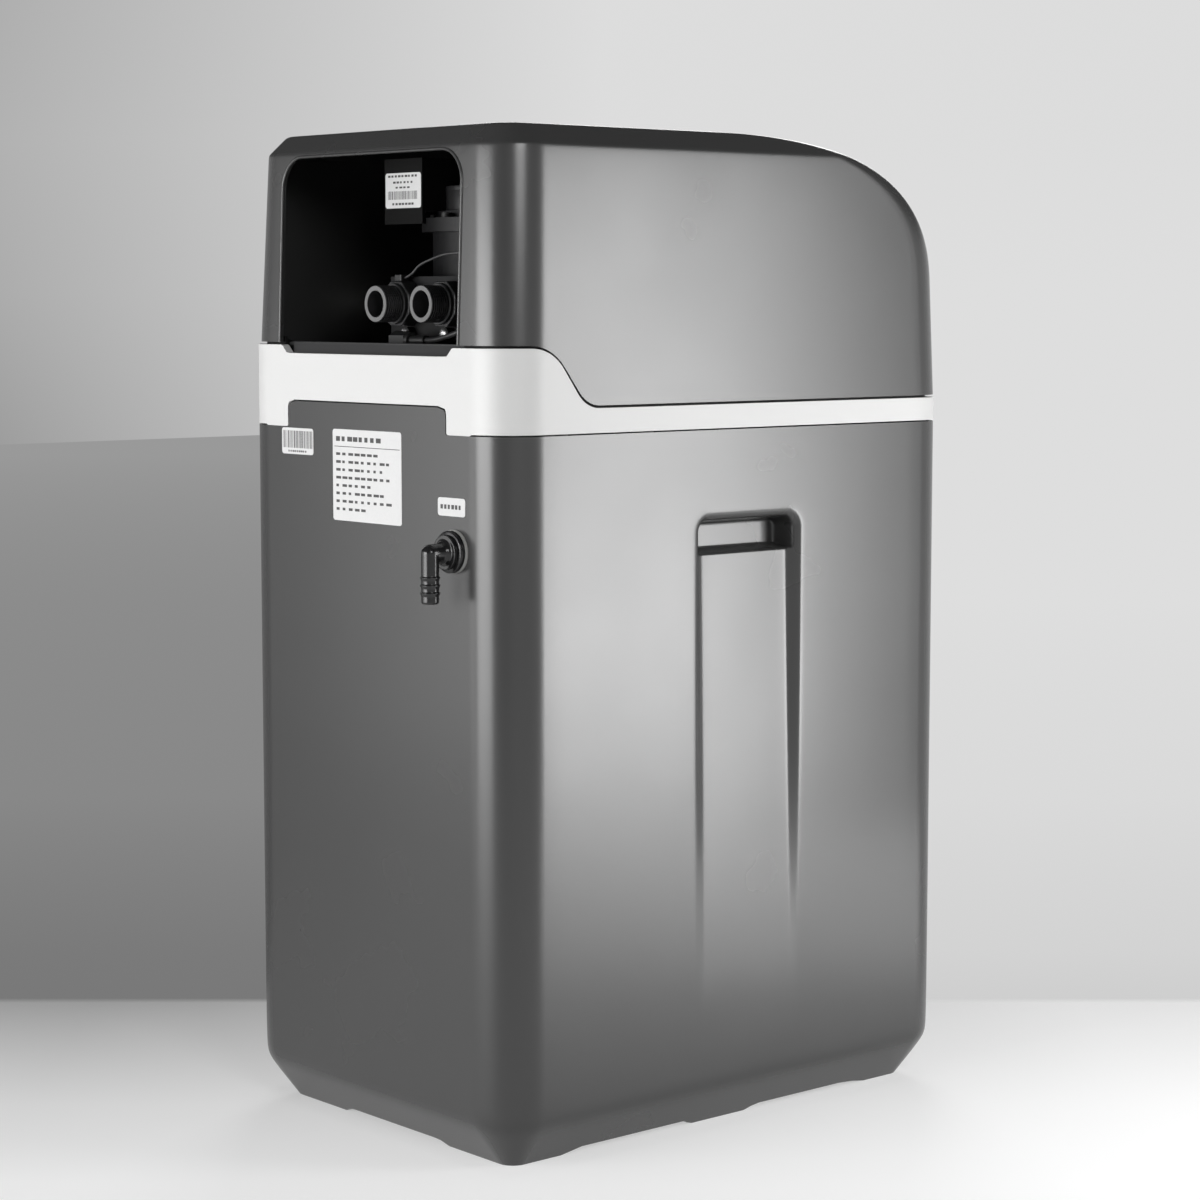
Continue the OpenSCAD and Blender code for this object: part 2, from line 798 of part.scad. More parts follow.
module salt_lid() {
    color("dimgray") place() difference() {
        union() {
            intersection() {
                difference() {
                    hood_form(0);
                    hood_form(hood_wall);
                }
                union() {
                    lid_block(0);
                    translate([-barrel_w / 2, lid_rear_y - over, hinge_z])
                        cube([barrel_w, hinge_y - lid_rear_y + over, 2 * barrel_r]);
                }
            }
            cylinder_x(-barrel_w / 2, hinge_y, hinge_z, barrel_r, barrel_w);
        }
        for (s = [-1, 1])
            cylinder_x(s * (barrel_w / 2 - pin_grip / 2) - pin_grip / 2 - over, hinge_y, hinge_z,
                       hinge_pin_r + run_fit, pin_grip + 2 * over);
    }
}

module lid_hinge_pins() {
    inner_x = barrel_w / 2 - pin_grip + over;
    color("silver") place() for (s = [-1, 1])
        translate([s * (inner_x + hinge_end_x) / 2, hinge_y, hinge_z]) rotate([0, 90, 0])
            cylinder(r = hinge_pin_r, h = hinge_end_x - inner_x, center = true);
}

// Overflow

module overflow_gasket() {
    color("darkgray") place() difference() {
        cylinder_y(overflow_x, rear_y, overflow_z, gasket_r, gasket_t);
        cylinder_y(overflow_x, rear_y - over, overflow_z, grommet_neck_r + seat_fit, gasket_t + 2 * over);
    }
}

module overflow_grommet() {
    inner_y = rear_y - cabinet_wall - locknut_t - 2;
    flange_y = rear_y + gasket_t;
    color([0.06, 0.06, 0.065]) place() difference() {
        union() {
            cylinder_y(overflow_x, inner_y, overflow_z, grommet_neck_r, flange_y - inner_y + over);
            cylinder_y(overflow_x, flange_y, overflow_z, grommet_flange_r, grommet_flange_t);
        }
        cylinder_y(overflow_x, inner_y - over, overflow_z, elbow_r + run_fit,
                   flange_y - inner_y + grommet_flange_t + 2 * over);
    }
}

module overflow_locknut() {
    nut_y = rear_y - cabinet_wall - locknut_t;
    color([0.1, 0.1, 0.11]) place() difference() {
        translate([overflow_x, nut_y, overflow_z]) rotate([-90, 0, 0])
            cylinder(r = locknut_r, h = locknut_t, $fn = 6);
        cylinder_y(overflow_x, nut_y - over, overflow_z, grommet_neck_r, locknut_t + 2 * over);
    }
}

// One hose barb: a ridge that tapers towards the hose end
module barb(z) {
    translate([0, 0, z]) cylinder(r1 = elbow_r, r2 = barb_r, h = 2.6);
}

module overflow_elbow() {
    stem_y = rear_y - cabinet_wall - locknut_t;
    flange_y = rear_y + gasket_t + grommet_flange_t + free_gap;
    color([0.08, 0.08, 0.085]) place() difference() {
        union() {
            cylinder_y(overflow_x, stem_y, overflow_z, elbow_r, elbow_y - stem_y);
            cylinder_y(overflow_x, flange_y, overflow_z, elbow_flange_r, elbow_flange_t);
            translate([overflow_x, elbow_y, overflow_z]) sphere(elbow_r);
            translate([overflow_x, elbow_y, overflow_z - elbow_drop]) {
                cylinder(r = elbow_r, h = elbow_drop);
                for (i = [0:barb_n - 1]) barb(barb_end + i * barb_pitch);
            }
        }
        cylinder_y(overflow_x, stem_y - over, overflow_z, elbow_bore_r, elbow_y - stem_y + over);
        translate([overflow_x, elbow_y, overflow_z]) sphere(elbow_bore_r);
        translate([overflow_x, elbow_y, overflow_z - elbow_drop - over])
            cylinder(r = elbow_bore_r, h = elbow_drop + over);
    }
}

// Resin tank and what stands in it

// Outline of the vessel, from the axis at the bottom to its shoulder
function vessel_side(r, low, shoulder) = concat(
    [for (i = [0:dome_parts]) let (a = 90 * i / dome_parts)
        [r * sin(a), low + dome_h * (1 - cos(a))]],
    [for (i = [0:dome_parts - 3]) let (a = 90 * i / dome_parts)
        [r * cos(a), shoulder - dome_h + dome_h * sin(a)]]
);

module resin_tank() {
    shoulder = tank_top_z - neck_h;
    color([0.75, 0.76, 0.72]) place() on_valve(0) difference() {
        union() {
            rotate_extrude() polygon(concat(vessel_side(tank_r, tank_low_z, shoulder), [[0, shoulder - 5]]));
            translate([0, 0, shoulder - 25]) cylinder(r = neck_r, h = neck_h + 25);
        }
        rotate_extrude() polygon(concat(
            vessel_side(tank_r - tank_wall, tank_low_z + tank_wall, shoulder - tank_wall),
            [[0, shoulder - tank_wall - 5]]));
        translate([0, 0, shoulder - 40]) cylinder(r = mouth_r, h = neck_h + 41);
    }
}

module tank_boot() {
    hollow = tank_low_z + dome_h;
    color([0.12, 0.12, 0.13]) place() on_valve(0) difference() {
        translate([0, 0, floor_t]) union() {
            cylinder(r1 = boot_low_r, r2 = boot_r, h = base_h - floor_t);
            translate([0, 0, base_h - floor_t]) cylinder(r = boot_r, h = boot_h - base_h + floor_t);
        }
        rotate_extrude() polygon(concat(
            [for (i = [0:dome_parts]) let (a = 90 * i / dome_parts)
                [(tank_r + 0.2) * sin(a), tank_low_z - 0.2 + dome_h * (1 - cos(a))]],
            [[tank_r + 0.2, hollow + 40], [0, hollow + 40]]));
        translate([0, 0, floor_t - over]) cylinder(r = boot_r - 40, h = boot_h);
    }
}

module neck_seal() {
    ring_r = 1.8;
    color([0.1, 0.1, 0.1]) place() on_valve(tank_top_z - 3)
        rotate_extrude() translate([mouth_r - ring_r, 0]) circle(ring_r, $fn = 20);
}

module riser_tube() {
    low = tank_low_z + 40;
    high = manifold_low_z;
    color("whitesmoke") place() on_valve(low) difference() {
        cylinder(r = riser_r, h = high - low);
        translate([0, 0, -over]) cylinder(r = riser_r - 2.2, h = high - low + 2 * over);
    }
}

module bottom_distributor() {
    low = tank_low_z + tank_wall + 2;
    basket_r = 26;
    basket_h = 44;
    slot_n = 12;
    color("whitesmoke") place() on_valve(low) difference() {
        cylinder(r = basket_r, h = basket_h);
        translate([0, 0, 3]) cylinder(r = basket_r - 3, h = basket_h - 8);
        translate([0, 0, basket_h - 10]) cylinder(r = riser_r + seat_fit, h = 20);
        for (i = [0:slot_n - 1]) rotate(360 * i / slot_n)
            translate([basket_r - 2, 0, basket_h / 2]) cube([8, 1.5, basket_h - 16], center = true);
    }
}

module top_strainer() {
    slot_n = 10;
    strainer_r = mouth_r - 3.5;
    high = tank_top_z - neck_thread_l;
    strainer_h = 40;
    color("whitesmoke") place() on_valve(high - strainer_h) difference() {
        cylinder(r = strainer_r, h = strainer_h);
        translate([0, 0, 3]) cylinder(r = strainer_r - 2.5, h = strainer_h);
        translate([0, 0, -over]) cylinder(r = riser_r + seat_fit, h = 10);
        for (i = [0:slot_n - 1]) rotate(360 * i / slot_n)
            translate([strainer_r, 0, strainer_h / 2]) cube([8, 1.5, strainer_h - 16], center = true);
    }
}

// Control valve

module valve_body() {
    thread_z = tank_top_z - neck_thread_l;
    nut_h = 14;
    color([0.09, 0.09, 0.095]) place() difference() {
        union() {
            on_valve(thread_z) cylinder(r = mouth_r - 3.7, h = tank_top_z - thread_z + over);
            on_valve(tank_top_z) cylinder(r = neck_r + 4, h = nut_h);
            on_valve(tank_top_z) cylinder(r = body_low_r, h = manifold_low_z - tank_top_z + over);
            on_valve(manifold_low_z) cylinder(r = trunk_r - 6, h = manifold_high_z - manifold_low_z);
            translate([-port_x - port_r - 8, tank_y, manifold_low_z])
                cube([port_pitch + 2 * port_r + 16, port_collar_y - tank_y, manifold_high_z - manifold_low_z]);
            on_valve(manifold_high_z - 2) cylinder(r = trunk_r, h = flange_low_z - manifold_high_z + 3);
            on_valve(flange_low_z) cylinder(r = flange_r, h = flange_mid_z - flange_low_z);
            for (s = [-1, 1])
                cylinder_y(s * port_screw_x, port_collar_y - over, port_screw_z, screw_boss_r, screw_boss_l + over);
        }
        on_valve(thread_z - over) cylinder(r = riser_r + seat_fit, h = manifold_low_z - thread_z + over);
        on_valve(disc_low_z) cylinder(r = disc_r + free_gap, h = flange_top_z - disc_low_z);
        for (s = [-1, 1]) {
            cylinder_y(s * port_x, port_collar_y - spigot_l - seat_fit, port_z, spigot_r + seat_fit, spigot_l + over);
            cylinder_y(s * port_x, tank_y + 10, port_z, port_bore_r - 1, port_collar_y - tank_y);
        }
        port_screw_spots(port_collar_y - 12, 13 + screw_boss_l);
        cap_screw_spots() translate([0, 0, flange_low_z - over]) cylinder(r = 2, h = 10);
        cylinder_x(side_port_x, side_port_y, side_port_z, side_port_r, side_port_l);
        cylinder_x(-side_port_x - side_port_l, side_port_y, side_port_z, side_port_r, side_port_l);
        cylinder_y(0, injector_y, side_port_z, injector_r, injector_l);
    }
}

module cap_screw_spots() {
    on_valve(0) for (i = [0:cap_screw_n - 1])
        rotate(360 * (i + 0.5) / cap_screw_n) translate([cap_screw_r, 0, 0]) children();
}

module valve_cap() {
    color([0.09, 0.09, 0.095]) place() difference() {
        union() {
            on_valve(flange_mid_z) cylinder(r = flange_r, h = flange_top_z - flange_mid_z);
            on_valve(flange_mid_z) cylinder(r = trunk_r - 2, h = cap_neck_z - flange_mid_z);
        }
        on_valve(flange_mid_z - over) cylinder(r = shaft_r + run_fit, h = 30);
        cap_screw_spots() translate([0, 0, flange_low_z]) cylinder(r = 2.2, h = 30);
    }
}

module cap_screws() {
    color("silver") place() cap_screw_spots() {
        translate([0, 0, flange_low_z]) cylinder(r = 2, h = flange_top_z - flange_low_z);
        translate([0, 0, flange_top_z]) difference() {
            cylinder(r = 3.8, h = 3.4);
            translate([0, 0, 1.6]) cylinder(r = 2.2, h = 3, $fn = 6);
        }
    }
}

module fixed_disc() {
    hole_n = 4;
    color("ivory") place() on_valve(disc_low_z) difference() {
        cylinder(r = disc_r, h = disc_t);
        for (i = [0:hole_n - 1]) rotate(360 * i / hole_n)
            translate([disc_r * 0.6, 0, -over]) cylinder(r = disc_r * 0.18, h = disc_t + 2 * over);
    }
}

module rotor_disc() {
    color("ivory") place() on_valve(disc_low_z + disc_t + seat_fit) difference() {
        cylinder(r = disc_r - free_gap, h = disc_t);
        translate([disc_r * 0.6, 0, -over]) cylinder(r = disc_r * 0.18, h = disc_t / 2 + over);
        translate([0, 0, -over]) cylinder(r = shaft_r, h = disc_t + 2 * over);
    }
}

module rotor_shaft() {
    low = disc_low_z + disc_t + seat_fit;
    color("silver") place() on_valve(low) cylinder(r = shaft_r, h = gear_top_z - low);
}

// Involute gear outline with a tooth on the +X axis
function involute(a) = tan(a) * 180 / PI - a;
function tooth_half(r, pitch_r, teeth) =
    90 / teeth - tooth_play / pitch_r * 90 / PI + involute(pressure_angle)
    - involute(acos(min(1, pitch_r * cos(pressure_angle) / r)));
function tooth_radii(pitch_r) = let (base = pitch_r * cos(pressure_angle), root = pitch_r - tooth_root,
    low = max(base, root), tip = pitch_r + tooth_tip)
    concat([root], [for (k = [0:3]) low + (tip - low) * k / 3]);
module gear_outline(pitch_r, teeth) {
    radii = tooth_radii(pitch_r);
    last = len(radii) - 1;
    polygon([for (i = [0:teeth - 1], k = [0:2 * last + 1])
        let (r = radii[k <= last ? k : 2 * last + 1 - k],
             side = k <= last ? -1 : 1,
             a = 360 * i / teeth + side * tooth_half(max(r, radii[1]), pitch_r, teeth))
        [r * cos(a), r * sin(a)]]);
}

module drive_gear() {
    color("whitesmoke") place() on_valve(gear_low_z) rotate(pinion_angle) linear_extrude(gear_face) difference() {
        gear_outline(gear_pitch_r, gear_teeth);
        circle(shaft_r);
    }
}

module motor_pinion() {
    color("gold") place() translate([pinion_x, pinion_y, gear_low_z])
        rotate(pinion_angle + 180 + 180 / pinion_teeth) {
            linear_extrude(gear_face) gear_outline(pinion_pitch_r, pinion_teeth);
            cylinder(r = pinion_shaft_r, h = gear_cover_z + 6 - gear_low_z);
        }
}

// Outline of the gear case: round over the gear with a lobe over the pinion
module gear_case_outline(grow) {
    translate([0, tank_y]) circle(housing_r + grow);
    translate([pinion_x, pinion_y]) circle(lobe_r + grow);
}

module gear_housing() {
    color([0.07, 0.07, 0.075]) place() difference() {
        translate([0, 0, cap_neck_z]) linear_extrude(housing_top_z - cap_neck_z) gear_case_outline(0);
        translate([0, 0, cap_neck_z + 3]) linear_extrude(20) gear_case_outline(-housing_wall);
        on_valve(cap_neck_z - over) cylinder(r = shaft_r + free_gap, h = 10);
    }
}

module gear_cover() {
    color([0.07, 0.07, 0.075]) place() difference() {
        translate([0, 0, housing_top_z]) linear_extrude(gear_cover_z - housing_top_z) gear_case_outline(0);
        translate([pinion_x, pinion_y, housing_top_z - over]) cylinder(r = pinion_shaft_r + run_fit, h = 10);
    }
}

module drive_motor() {
    color("silver") place() translate([pinion_x, pinion_y, gear_cover_z]) difference() {
        cylinder(r = motor_r, h = motor_h);
        translate([0, 0, -over]) cylinder(r = pinion_shaft_r + run_fit, h = 8);
    }
}

module motor_cover() {
    rear = motor_box_rear_y;
    wall = motor_box_wall;
    color([0.05, 0.05, 0.055]) place() difference() {
        translate([motor_box_x - motor_box_w / 2, rear - motor_box_d, motor_box_low_z])
            cube([motor_box_w, motor_box_d, motor_box_top_z - motor_box_low_z]);
        translate([motor_box_x - motor_box_w / 2 + wall, rear - motor_box_d + wall, motor_box_low_z - over])
            cube([motor_box_w - 2 * wall, motor_box_d - 2 * wall, motor_box_top_z - motor_box_low_z - wall + over]);
        translate([0, 0, cap_neck_z - 4]) linear_extrude(gear_cover_z - cap_neck_z + 4) gear_case_outline(free_gap);
        on_valve(motor_box_low_z - over) cylinder(r = flange_r + free_gap, h = cap_neck_z - motor_box_low_z + over);
    }
}

// Port adapters

module adapter(x) {
    flats_r = port_flats / 2 / cos(22.5);
    groove_y = port_collar_y - spigot_l / 2;
    difference() {
        union() {
            cylinder_y(x, port_collar_y - spigot_l, port_z, spigot_r, spigot_l + over);
            translate([x, port_collar_y, port_z]) rotate([-90, 0, 0]) rotate(22.5)
                cylinder(r = flats_r, h = port_collar_l, $fn = 8);
            cylinder_y(x, port_end_y - thread_l - over, port_z, port_r, thread_l + over);
        }
        cylinder_y(x, port_collar_y - spigot_l - over, port_z, port_bore_r, spigot_l + port_collar_l + thread_l + 2 * over);
        translate([x, groove_y, port_z]) rotate([90, 0, 0]) rotate_extrude()
            translate([spigot_r - 2.1, -1.3]) square([4, 2.6]);
    }
}

module inlet_adapter() {
    color([0.13, 0.13, 0.135]) place() adapter(-port_x);
}

// Cross web that carries one end of the turbine
module turbine_web(y) {
    translate([port_x, y, port_z]) rotate([-90, 0, 0]) difference() {
        union() {
            cylinder(r = turbine_hub_r, h = web_t);
            for (a = [0, 90]) rotate(a) translate([0, 0, web_t / 2])
                cube([2 * port_bore_r + over, 1.4, web_t], center = true);
        }
        translate([0, 0, -over]) cylinder(r = turbine_axle_r + run_fit, h = web_t + 2 * over);
    }
}

module outlet_adapter() {
    gap = 0.6;
    color([0.13, 0.13, 0.135]) place() {
        adapter(port_x);
        turbine_web(turbine_y - gap - web_t);
        turbine_web(turbine_y + turbine_l + gap);
    }
}

module meter_turbine() {
    axle_over = web_t + 0.6;
    color("white") place() translate([port_x, turbine_y, port_z]) rotate([-90, 0, 0]) {
        translate([0, 0, -axle_over]) cylinder(r = turbine_axle_r, h = turbine_l + 2 * axle_over);
        cylinder(r = turbine_hub_r, h = turbine_l);
        intersection() {
            cylinder(r = turbine_r, h = turbine_l);
            for (i = [0:turbine_blades - 1]) rotate(360 * i / turbine_blades) translate([0, 0, turbine_l / 2])
                rotate([35, 0, 0]) translate([turbine_r / 2, 0, 0]) cube([turbine_r, 1, 2 * turbine_l], center = true);
        }
    }
}

module port_seals() {
    ring_r = 1.05;
    color([0.1, 0.1, 0.1]) place() for (s = [-1, 1])
        translate([s * port_x, port_collar_y - spigot_l / 2, port_z]) rotate([90, 0, 0])
            rotate_extrude() translate([spigot_r - 1, 0]) circle(ring_r, $fn = 20);
}

module port_screw_spots(y, length) {
    for (s = [-1, 1]) cylinder_y(s * port_screw_x, y, port_screw_z, 1.8, length);
}

module port_screws() {
    head_h = 3;
    color("silver") place() {
        port_screw_spots(port_collar_y - 12 + over, 12 + screw_boss_l + head_h - 2 * over);
        for (s = [-1, 1])
            cylinder_y(s * port_screw_x, port_collar_y + screw_boss_l, port_screw_z, 4.2, head_h);
    }
}

module meter_sensor() {
    color([0.06, 0.06, 0.065]) place()
        translate([port_x - sensor_size / 2, port_collar_y + 6 - sensor_size / 2, port_z + port_flats / 2])
            cube([sensor_size, sensor_size, sensor_h]);
}

module injector_cap() {
    head_r = 15;
    head_l = 12;
    color([0.09, 0.09, 0.095]) place() {
        cylinder_y(0, injector_y, side_port_z, injector_r - seat_fit, injector_l - 2);
        translate([0, injector_y, side_port_z]) rotate([-90, 0, 0]) cylinder(r = head_r, h = head_l, $fn = 8);
    }
}

// Side fitting with a hose end, along +X when side is 1 and along -X when it is -1
module side_fitting(side) {
    nut_x = side_port_x + 15;
    nut_r = 10;
    nut_h = 9;
    translate([0, side_port_y, side_port_z]) rotate([0, side * 90, 0]) difference() {
        union() {
            translate([0, 0, side_port_x]) cylinder(r = side_port_r - seat_fit, h = side_port_l);
            translate([0, 0, nut_x]) cylinder(r = nut_r, h = nut_h, $fn = 6);
            translate([0, 0, nut_x]) cylinder(r = brine_line_r, h = fitting_end_x - nut_x);
        }
        translate([0, 0, side_port_x - over])
            cylinder(r = fitting_bore_r, h = fitting_end_x - side_port_x + 2 * over);
    }
}

module brine_fitting() {
    color([0.85, 0.85, 0.83]) place() side_fitting(1);
}

module drain_fitting() {
    color([0.85, 0.85, 0.83]) place() side_fitting(-1);
}

// Cords

// Smooth run through hand-chosen points
function spline(a, b, c, d, t) = 0.5 * (2 * b + (c - a) * t + (2 * a - 5 * b + 4 * c - d) * t * t
    + (3 * b - a - 3 * c + d) * t * t * t);
function smooth_route(points, steps) = let (last = len(points) - 1) concat(
    [for (i = [0:last - 1], k = [0:steps - 1])
        spline(points[max(i - 1, 0)], points[i], points[i + 1], points[min(i + 2, last)], k / steps)],
    [points[last]]);
function unit(v) = v / norm(v);

// Tube along a route, as one closed solid
module cord(points, r, side_hint) {
    route = smooth_route(points, 3);
    last = len(route) - 1;
    rings = [for (i = [0:last])
        let (t = unit(route[min(i + 1, last)] - route[max(i - 1, 0)]),
             u = unit(cross(t, side_hint)),
             v = cross(t, u))
        for (k = [0:cord_sides - 1])
            route[i] + r * (cos(360 * k / cord_sides) * u + sin(360 * k / cord_sides) * v)];
    walls = [for (i = [0:last - 1], k = [0:cord_sides - 1], half = [0, 1])
        let (a = i * cord_sides + k, b = i * cord_sides + (k + 1) % cord_sides)
        half == 0 ? [a, b, b + cord_sides] : [a, b + cord_sides, a + cord_sides]];
    start = [for (k = [1:cord_sides - 2]) [0, k + 1, k]];
    base = last * cord_sides;
    end = [for (k = [1:cord_sides - 2]) [base, base + k, base + k + 1]];
    polyhedron(points = rings, faces = concat(walls, start, end));
}

module meter_lead() {
    color([0.25, 0.25, 0.26]) place() cord(meter_route, meter_lead_r, [0, 1, 0.3]);
}

module power_lead() {
    color([0.05, 0.05, 0.055]) place() cord(power_route, lead_r, [0.1, 0.2, 1]);
}

module brine_line() {
    color([0.9, 0.9, 0.88]) place() cord(brine_route, brine_line_r, [1, 0.2, 1]);
}

module power_socket() {
    ring_x = socket_x - socket_hex_l - socket_ring_l;
    color([0.05, 0.05, 0.055]) place() difference() {
        union() {
            translate([socket_x - socket_hex_l, socket_y, socket_z]) rotate([0, 90, 0])
                cylinder(r = socket_hex_r, h = socket_hex_l, $fn = 6);
            cylinder_x(ring_x, socket_y, socket_z, socket_ring_r, socket_ring_l + over);
            cylinder_x(socket_end_x, socket_y, socket_z, socket_neck_r, socket_neck_l + over);
        }
        cylinder_x(socket_x - 9, socket_y, socket_z, 2.8, 10);
    }
}

// Brine side

module brine_well() {
    slot_n = 6;
    slot_w = 6;
    slot_h = 40;
    slot_z = floor_t + 30;
    color("whitesmoke") place() translate([well_x, well_y, 0]) difference() {
        translate([0, 0, floor_t]) cylinder(r = well_r, h = well_top_z - floor_t);
        translate([0, 0, floor_t - over]) cylinder(r = well_bore_r, h = well_top_z);
        for (i = [0:slot_n - 1]) rotate(360 * (i + 0.5) / slot_n)
            translate([well_r, 0, slot_z]) cube([well_r / 2, slot_w, slot_h], center = true);
    }
}

module brine_well_cap() {
    cap_skirt = 9;
    notch_w = 20;
    color([0.2, 0.2, 0.21]) place() translate([well_x, well_y, 0]) difference() {
        translate([0, 0, well_top_z - cap_skirt]) cylinder(r = well_r + 3, h = cap_skirt + 3);
        translate([0, 0, well_top_z - cap_skirt - over]) cylinder(r = well_r + 0.2, h = cap_skirt + over);
        translate([tube_x - well_x - notch_w / 2, -notch_w / 2, well_top_z - 2 * cap_skirt])
            cube([notch_w, 2 * well_r, 4 * cap_skirt]);
    }
}

module brine_valve() {
    arm_n = 3;
    color("whitesmoke") place() difference() {
        union() {
            translate([well_x, well_y, float_valve_z]) cylinder(r = float_valve_r, h = float_valve_h);
            intersection() {
                translate([well_x, well_y, float_valve_z]) cylinder(r = well_bore_r - seat_fit, h = 12);
                for (i = [0:arm_n - 1]) translate([well_x, well_y, float_valve_z]) rotate(120 * i - 90)
                    translate([0, -3, 0]) cube([2 * well_r, 6, 12]);
            }
        }
        translate([rod_x, well_y, float_valve_z - over])
            cylinder(r = rod_r + run_fit, h = float_valve_h + 2 * over);
        translate([tube_x, well_y, float_valve_z - over]) cylinder(r = tube_r + seat_fit, h = 13);
        translate([tube_x, well_y, float_valve_z]) cylinder(r = 2.5, h = float_valve_h + over);
    }
}

module brine_pickup() {
    cage_r = 13;
    cage_h = 34;
    slot_n = 6;
    low = floor_t + 1;
    color("whitesmoke") place() translate([tube_x, well_y, low]) difference() {
        union() {
            cylinder(r = cage_r, h = cage_h);
            cylinder(r = tube_r, h = float_valve_z + 12 - low);
        }
        translate([0, 0, 3]) cylinder(r = cage_r - 2, h = cage_h - 6);
        cylinder(r = tube_r - 1.5, h = float_valve_z);
        for (i = [0:slot_n - 1]) rotate(360 * i / slot_n)
            translate([cage_r, 0, cage_h / 2]) cube([10, 3, cage_h - 12], center = true);
    }
}

module float_rod() {
    high = well_top_z - float_travel - 3 * over;
    color("silver") place() translate([rod_x, well_y, rod_low_z]) cylinder(r = rod_r, h = high - rod_low_z);
}

module brine_float() {
    rim = 4;
    color([0.95, 0.95, 0.92]) place() translate([rod_x, well_y, rod_low_z + 6]) difference() {
        rotate_extrude() polygon([[0, 0], [float_r - rim, 0], [float_r, rim], [float_r, float_h - rim],
                                  [float_r - rim, float_h], [0, float_h]]);
        translate([0, 0, -over]) cylinder(r = rod_r, h = float_h + 2 * over);
    }
}

module salt_grid() {
    inset = cabinet_wall + 6;
    leg_in = 34;
    leg_x = -side_x + leg_in;
    leg_y = tank_y - tank_r - 30;
    legs = [[leg_x, front_y + leg_in], [0, front_y + leg_in], [leg_x, leg_y], [0, leg_y]];
    color([0.3, 0.3, 0.31]) place() difference() {
        union() {
            intersection() {
                plan_slab(inset, grid_z, grid_z + grid_t);
                translate([-side_x, front_y, grid_z - over]) cube([cabinet_w, tank_y - front_y - 20, grid_t + 2 * over]);
            }
            for (leg = legs) translate([leg[0], leg[1], floor_t]) cylinder(r = grid_leg_r, h = grid_rise + over);
        }
        on_valve(grid_z - over) cylinder(r = tank_r + grid_clear, h = 10);
        translate([well_x, well_y, grid_z - over]) cylinder(r = well_r + grid_clear, h = 10);
        for (x = [-5:1], y = [-8:-4])
            translate([x * grid_hole_pitch, y * grid_hole_pitch, grid_z - over])
                cylinder(r = grid_hole_r, h = grid_t + 2 * over);
    }
}

// Control housing

// Leaning frame of the panel: +Z out of the panel, +Y up along it
module on_panel() {
    place() translate([0, panel_y, panel_z]) rotate([90 - panel_lean, 0, 0]) children();
}

module control_housing() {
    corner = 5;
    color([0.1, 0.1, 0.105]) {
        on_panel() difference() {
            translate([0, 0, -panel_depth]) linear_extrude(panel_depth - panel_t) outline(panel_w, panel_h, corner);
            translate([0, 0, -panel_depth + housing_skin]) linear_extrude(panel_depth)
                outline(panel_w - 2 * housing_skin, panel_h - 2 * housing_skin, corner - housing_skin);
        }
        place() difference() {
            for (s = [-1, 1])
                translate([s * arm_x - arm_w / 2, panel_y + panel_depth - 2, cap_neck_z + 2])
                    cube([arm_w, tank_y - panel_y - panel_depth, arm_h]);
            translate([0, 0, cap_neck_z]) linear_extrude(arm_h + 8) gear_case_outline(0);
            translate([0, panel_y, panel_z]) rotate([90 - panel_lean, 0, 0]) translate([0, 0, 45.5 - panel_depth])
                cube([panel_w, panel_h + 40, 90], center = true);
        }
        place() for (spot = glands)
            cylinder_y(spot[0], spot[1] - gland_l, spot[2], gland_r, gland_l);
        on_panel() for (x = [-1, 1], y = [-1, 1])
            translate([x * (panel_w / 2 - 9), y * (panel_h / 2 - 9), -panel_depth + housing_skin - 0.1])
                cylinder(r = 3, h = panel_depth + board_z - board_t - housing_skin + 0.1);
    }
}

function key_x(i) = (i - 1.5) * key_pitch;

module control_panel() {
    color([0.16, 0.16, 0.17]) on_panel() difference() {
        translate([0, 0, -panel_t]) linear_extrude(panel_t) outline(panel_w, panel_h, 5);
        translate([0, window_y, 0]) cube([window_w, window_h, 2 * lens_t], center = true);
        translate([0, window_y, 0]) cube([window_w - 6, window_h - 6, 20], center = true);
        for (i = [0:3]) translate([key_x(i), key_y, -10]) cylinder(r = key_r + run_fit, h = 20);
    }
}

module display_lens() {
    color([0.1, 0.2, 0.25]) on_panel() translate([0, window_y, -lens_t / 2])
        cube([window_w - 2 * seat_fit, window_h - 2 * seat_fit, lens_t], center = true);
}

module control_board() {
    color("darkgreen") on_panel() {
        translate([0, 0, board_z - board_t / 2])
            cube([panel_w - 2 * housing_skin - 2, panel_h - 2 * housing_skin - 2, board_t], center = true);
        translate([0, window_y, board_z / 2 - panel_t / 2]) cube([window_w - 8, window_h - 8, -board_z - panel_t], center = true);
    }
}

module key(i) {
    collar_top = -panel_t - 0.1;
    color("lightgray") on_panel() translate([key_x(i), key_y, 0]) {
        translate([0, 0, collar_top - key_collar]) cylinder(r = key_r, h = key_proud - collar_top + key_collar);
        translate([0, 0, collar_top - key_collar]) cylinder(r = key_r + 1.5, h = key_collar);
        translate([0, 0, board_z + key_travel + 0.4])
            cylinder(r = 2, h = collar_top - key_collar - board_z - key_travel - 0.4 + over / 2);
    }
}

module menu_key() { key(0); }
module down_key() { key(1); }
module up_key() { key(2); }
module set_key() { key(3); }

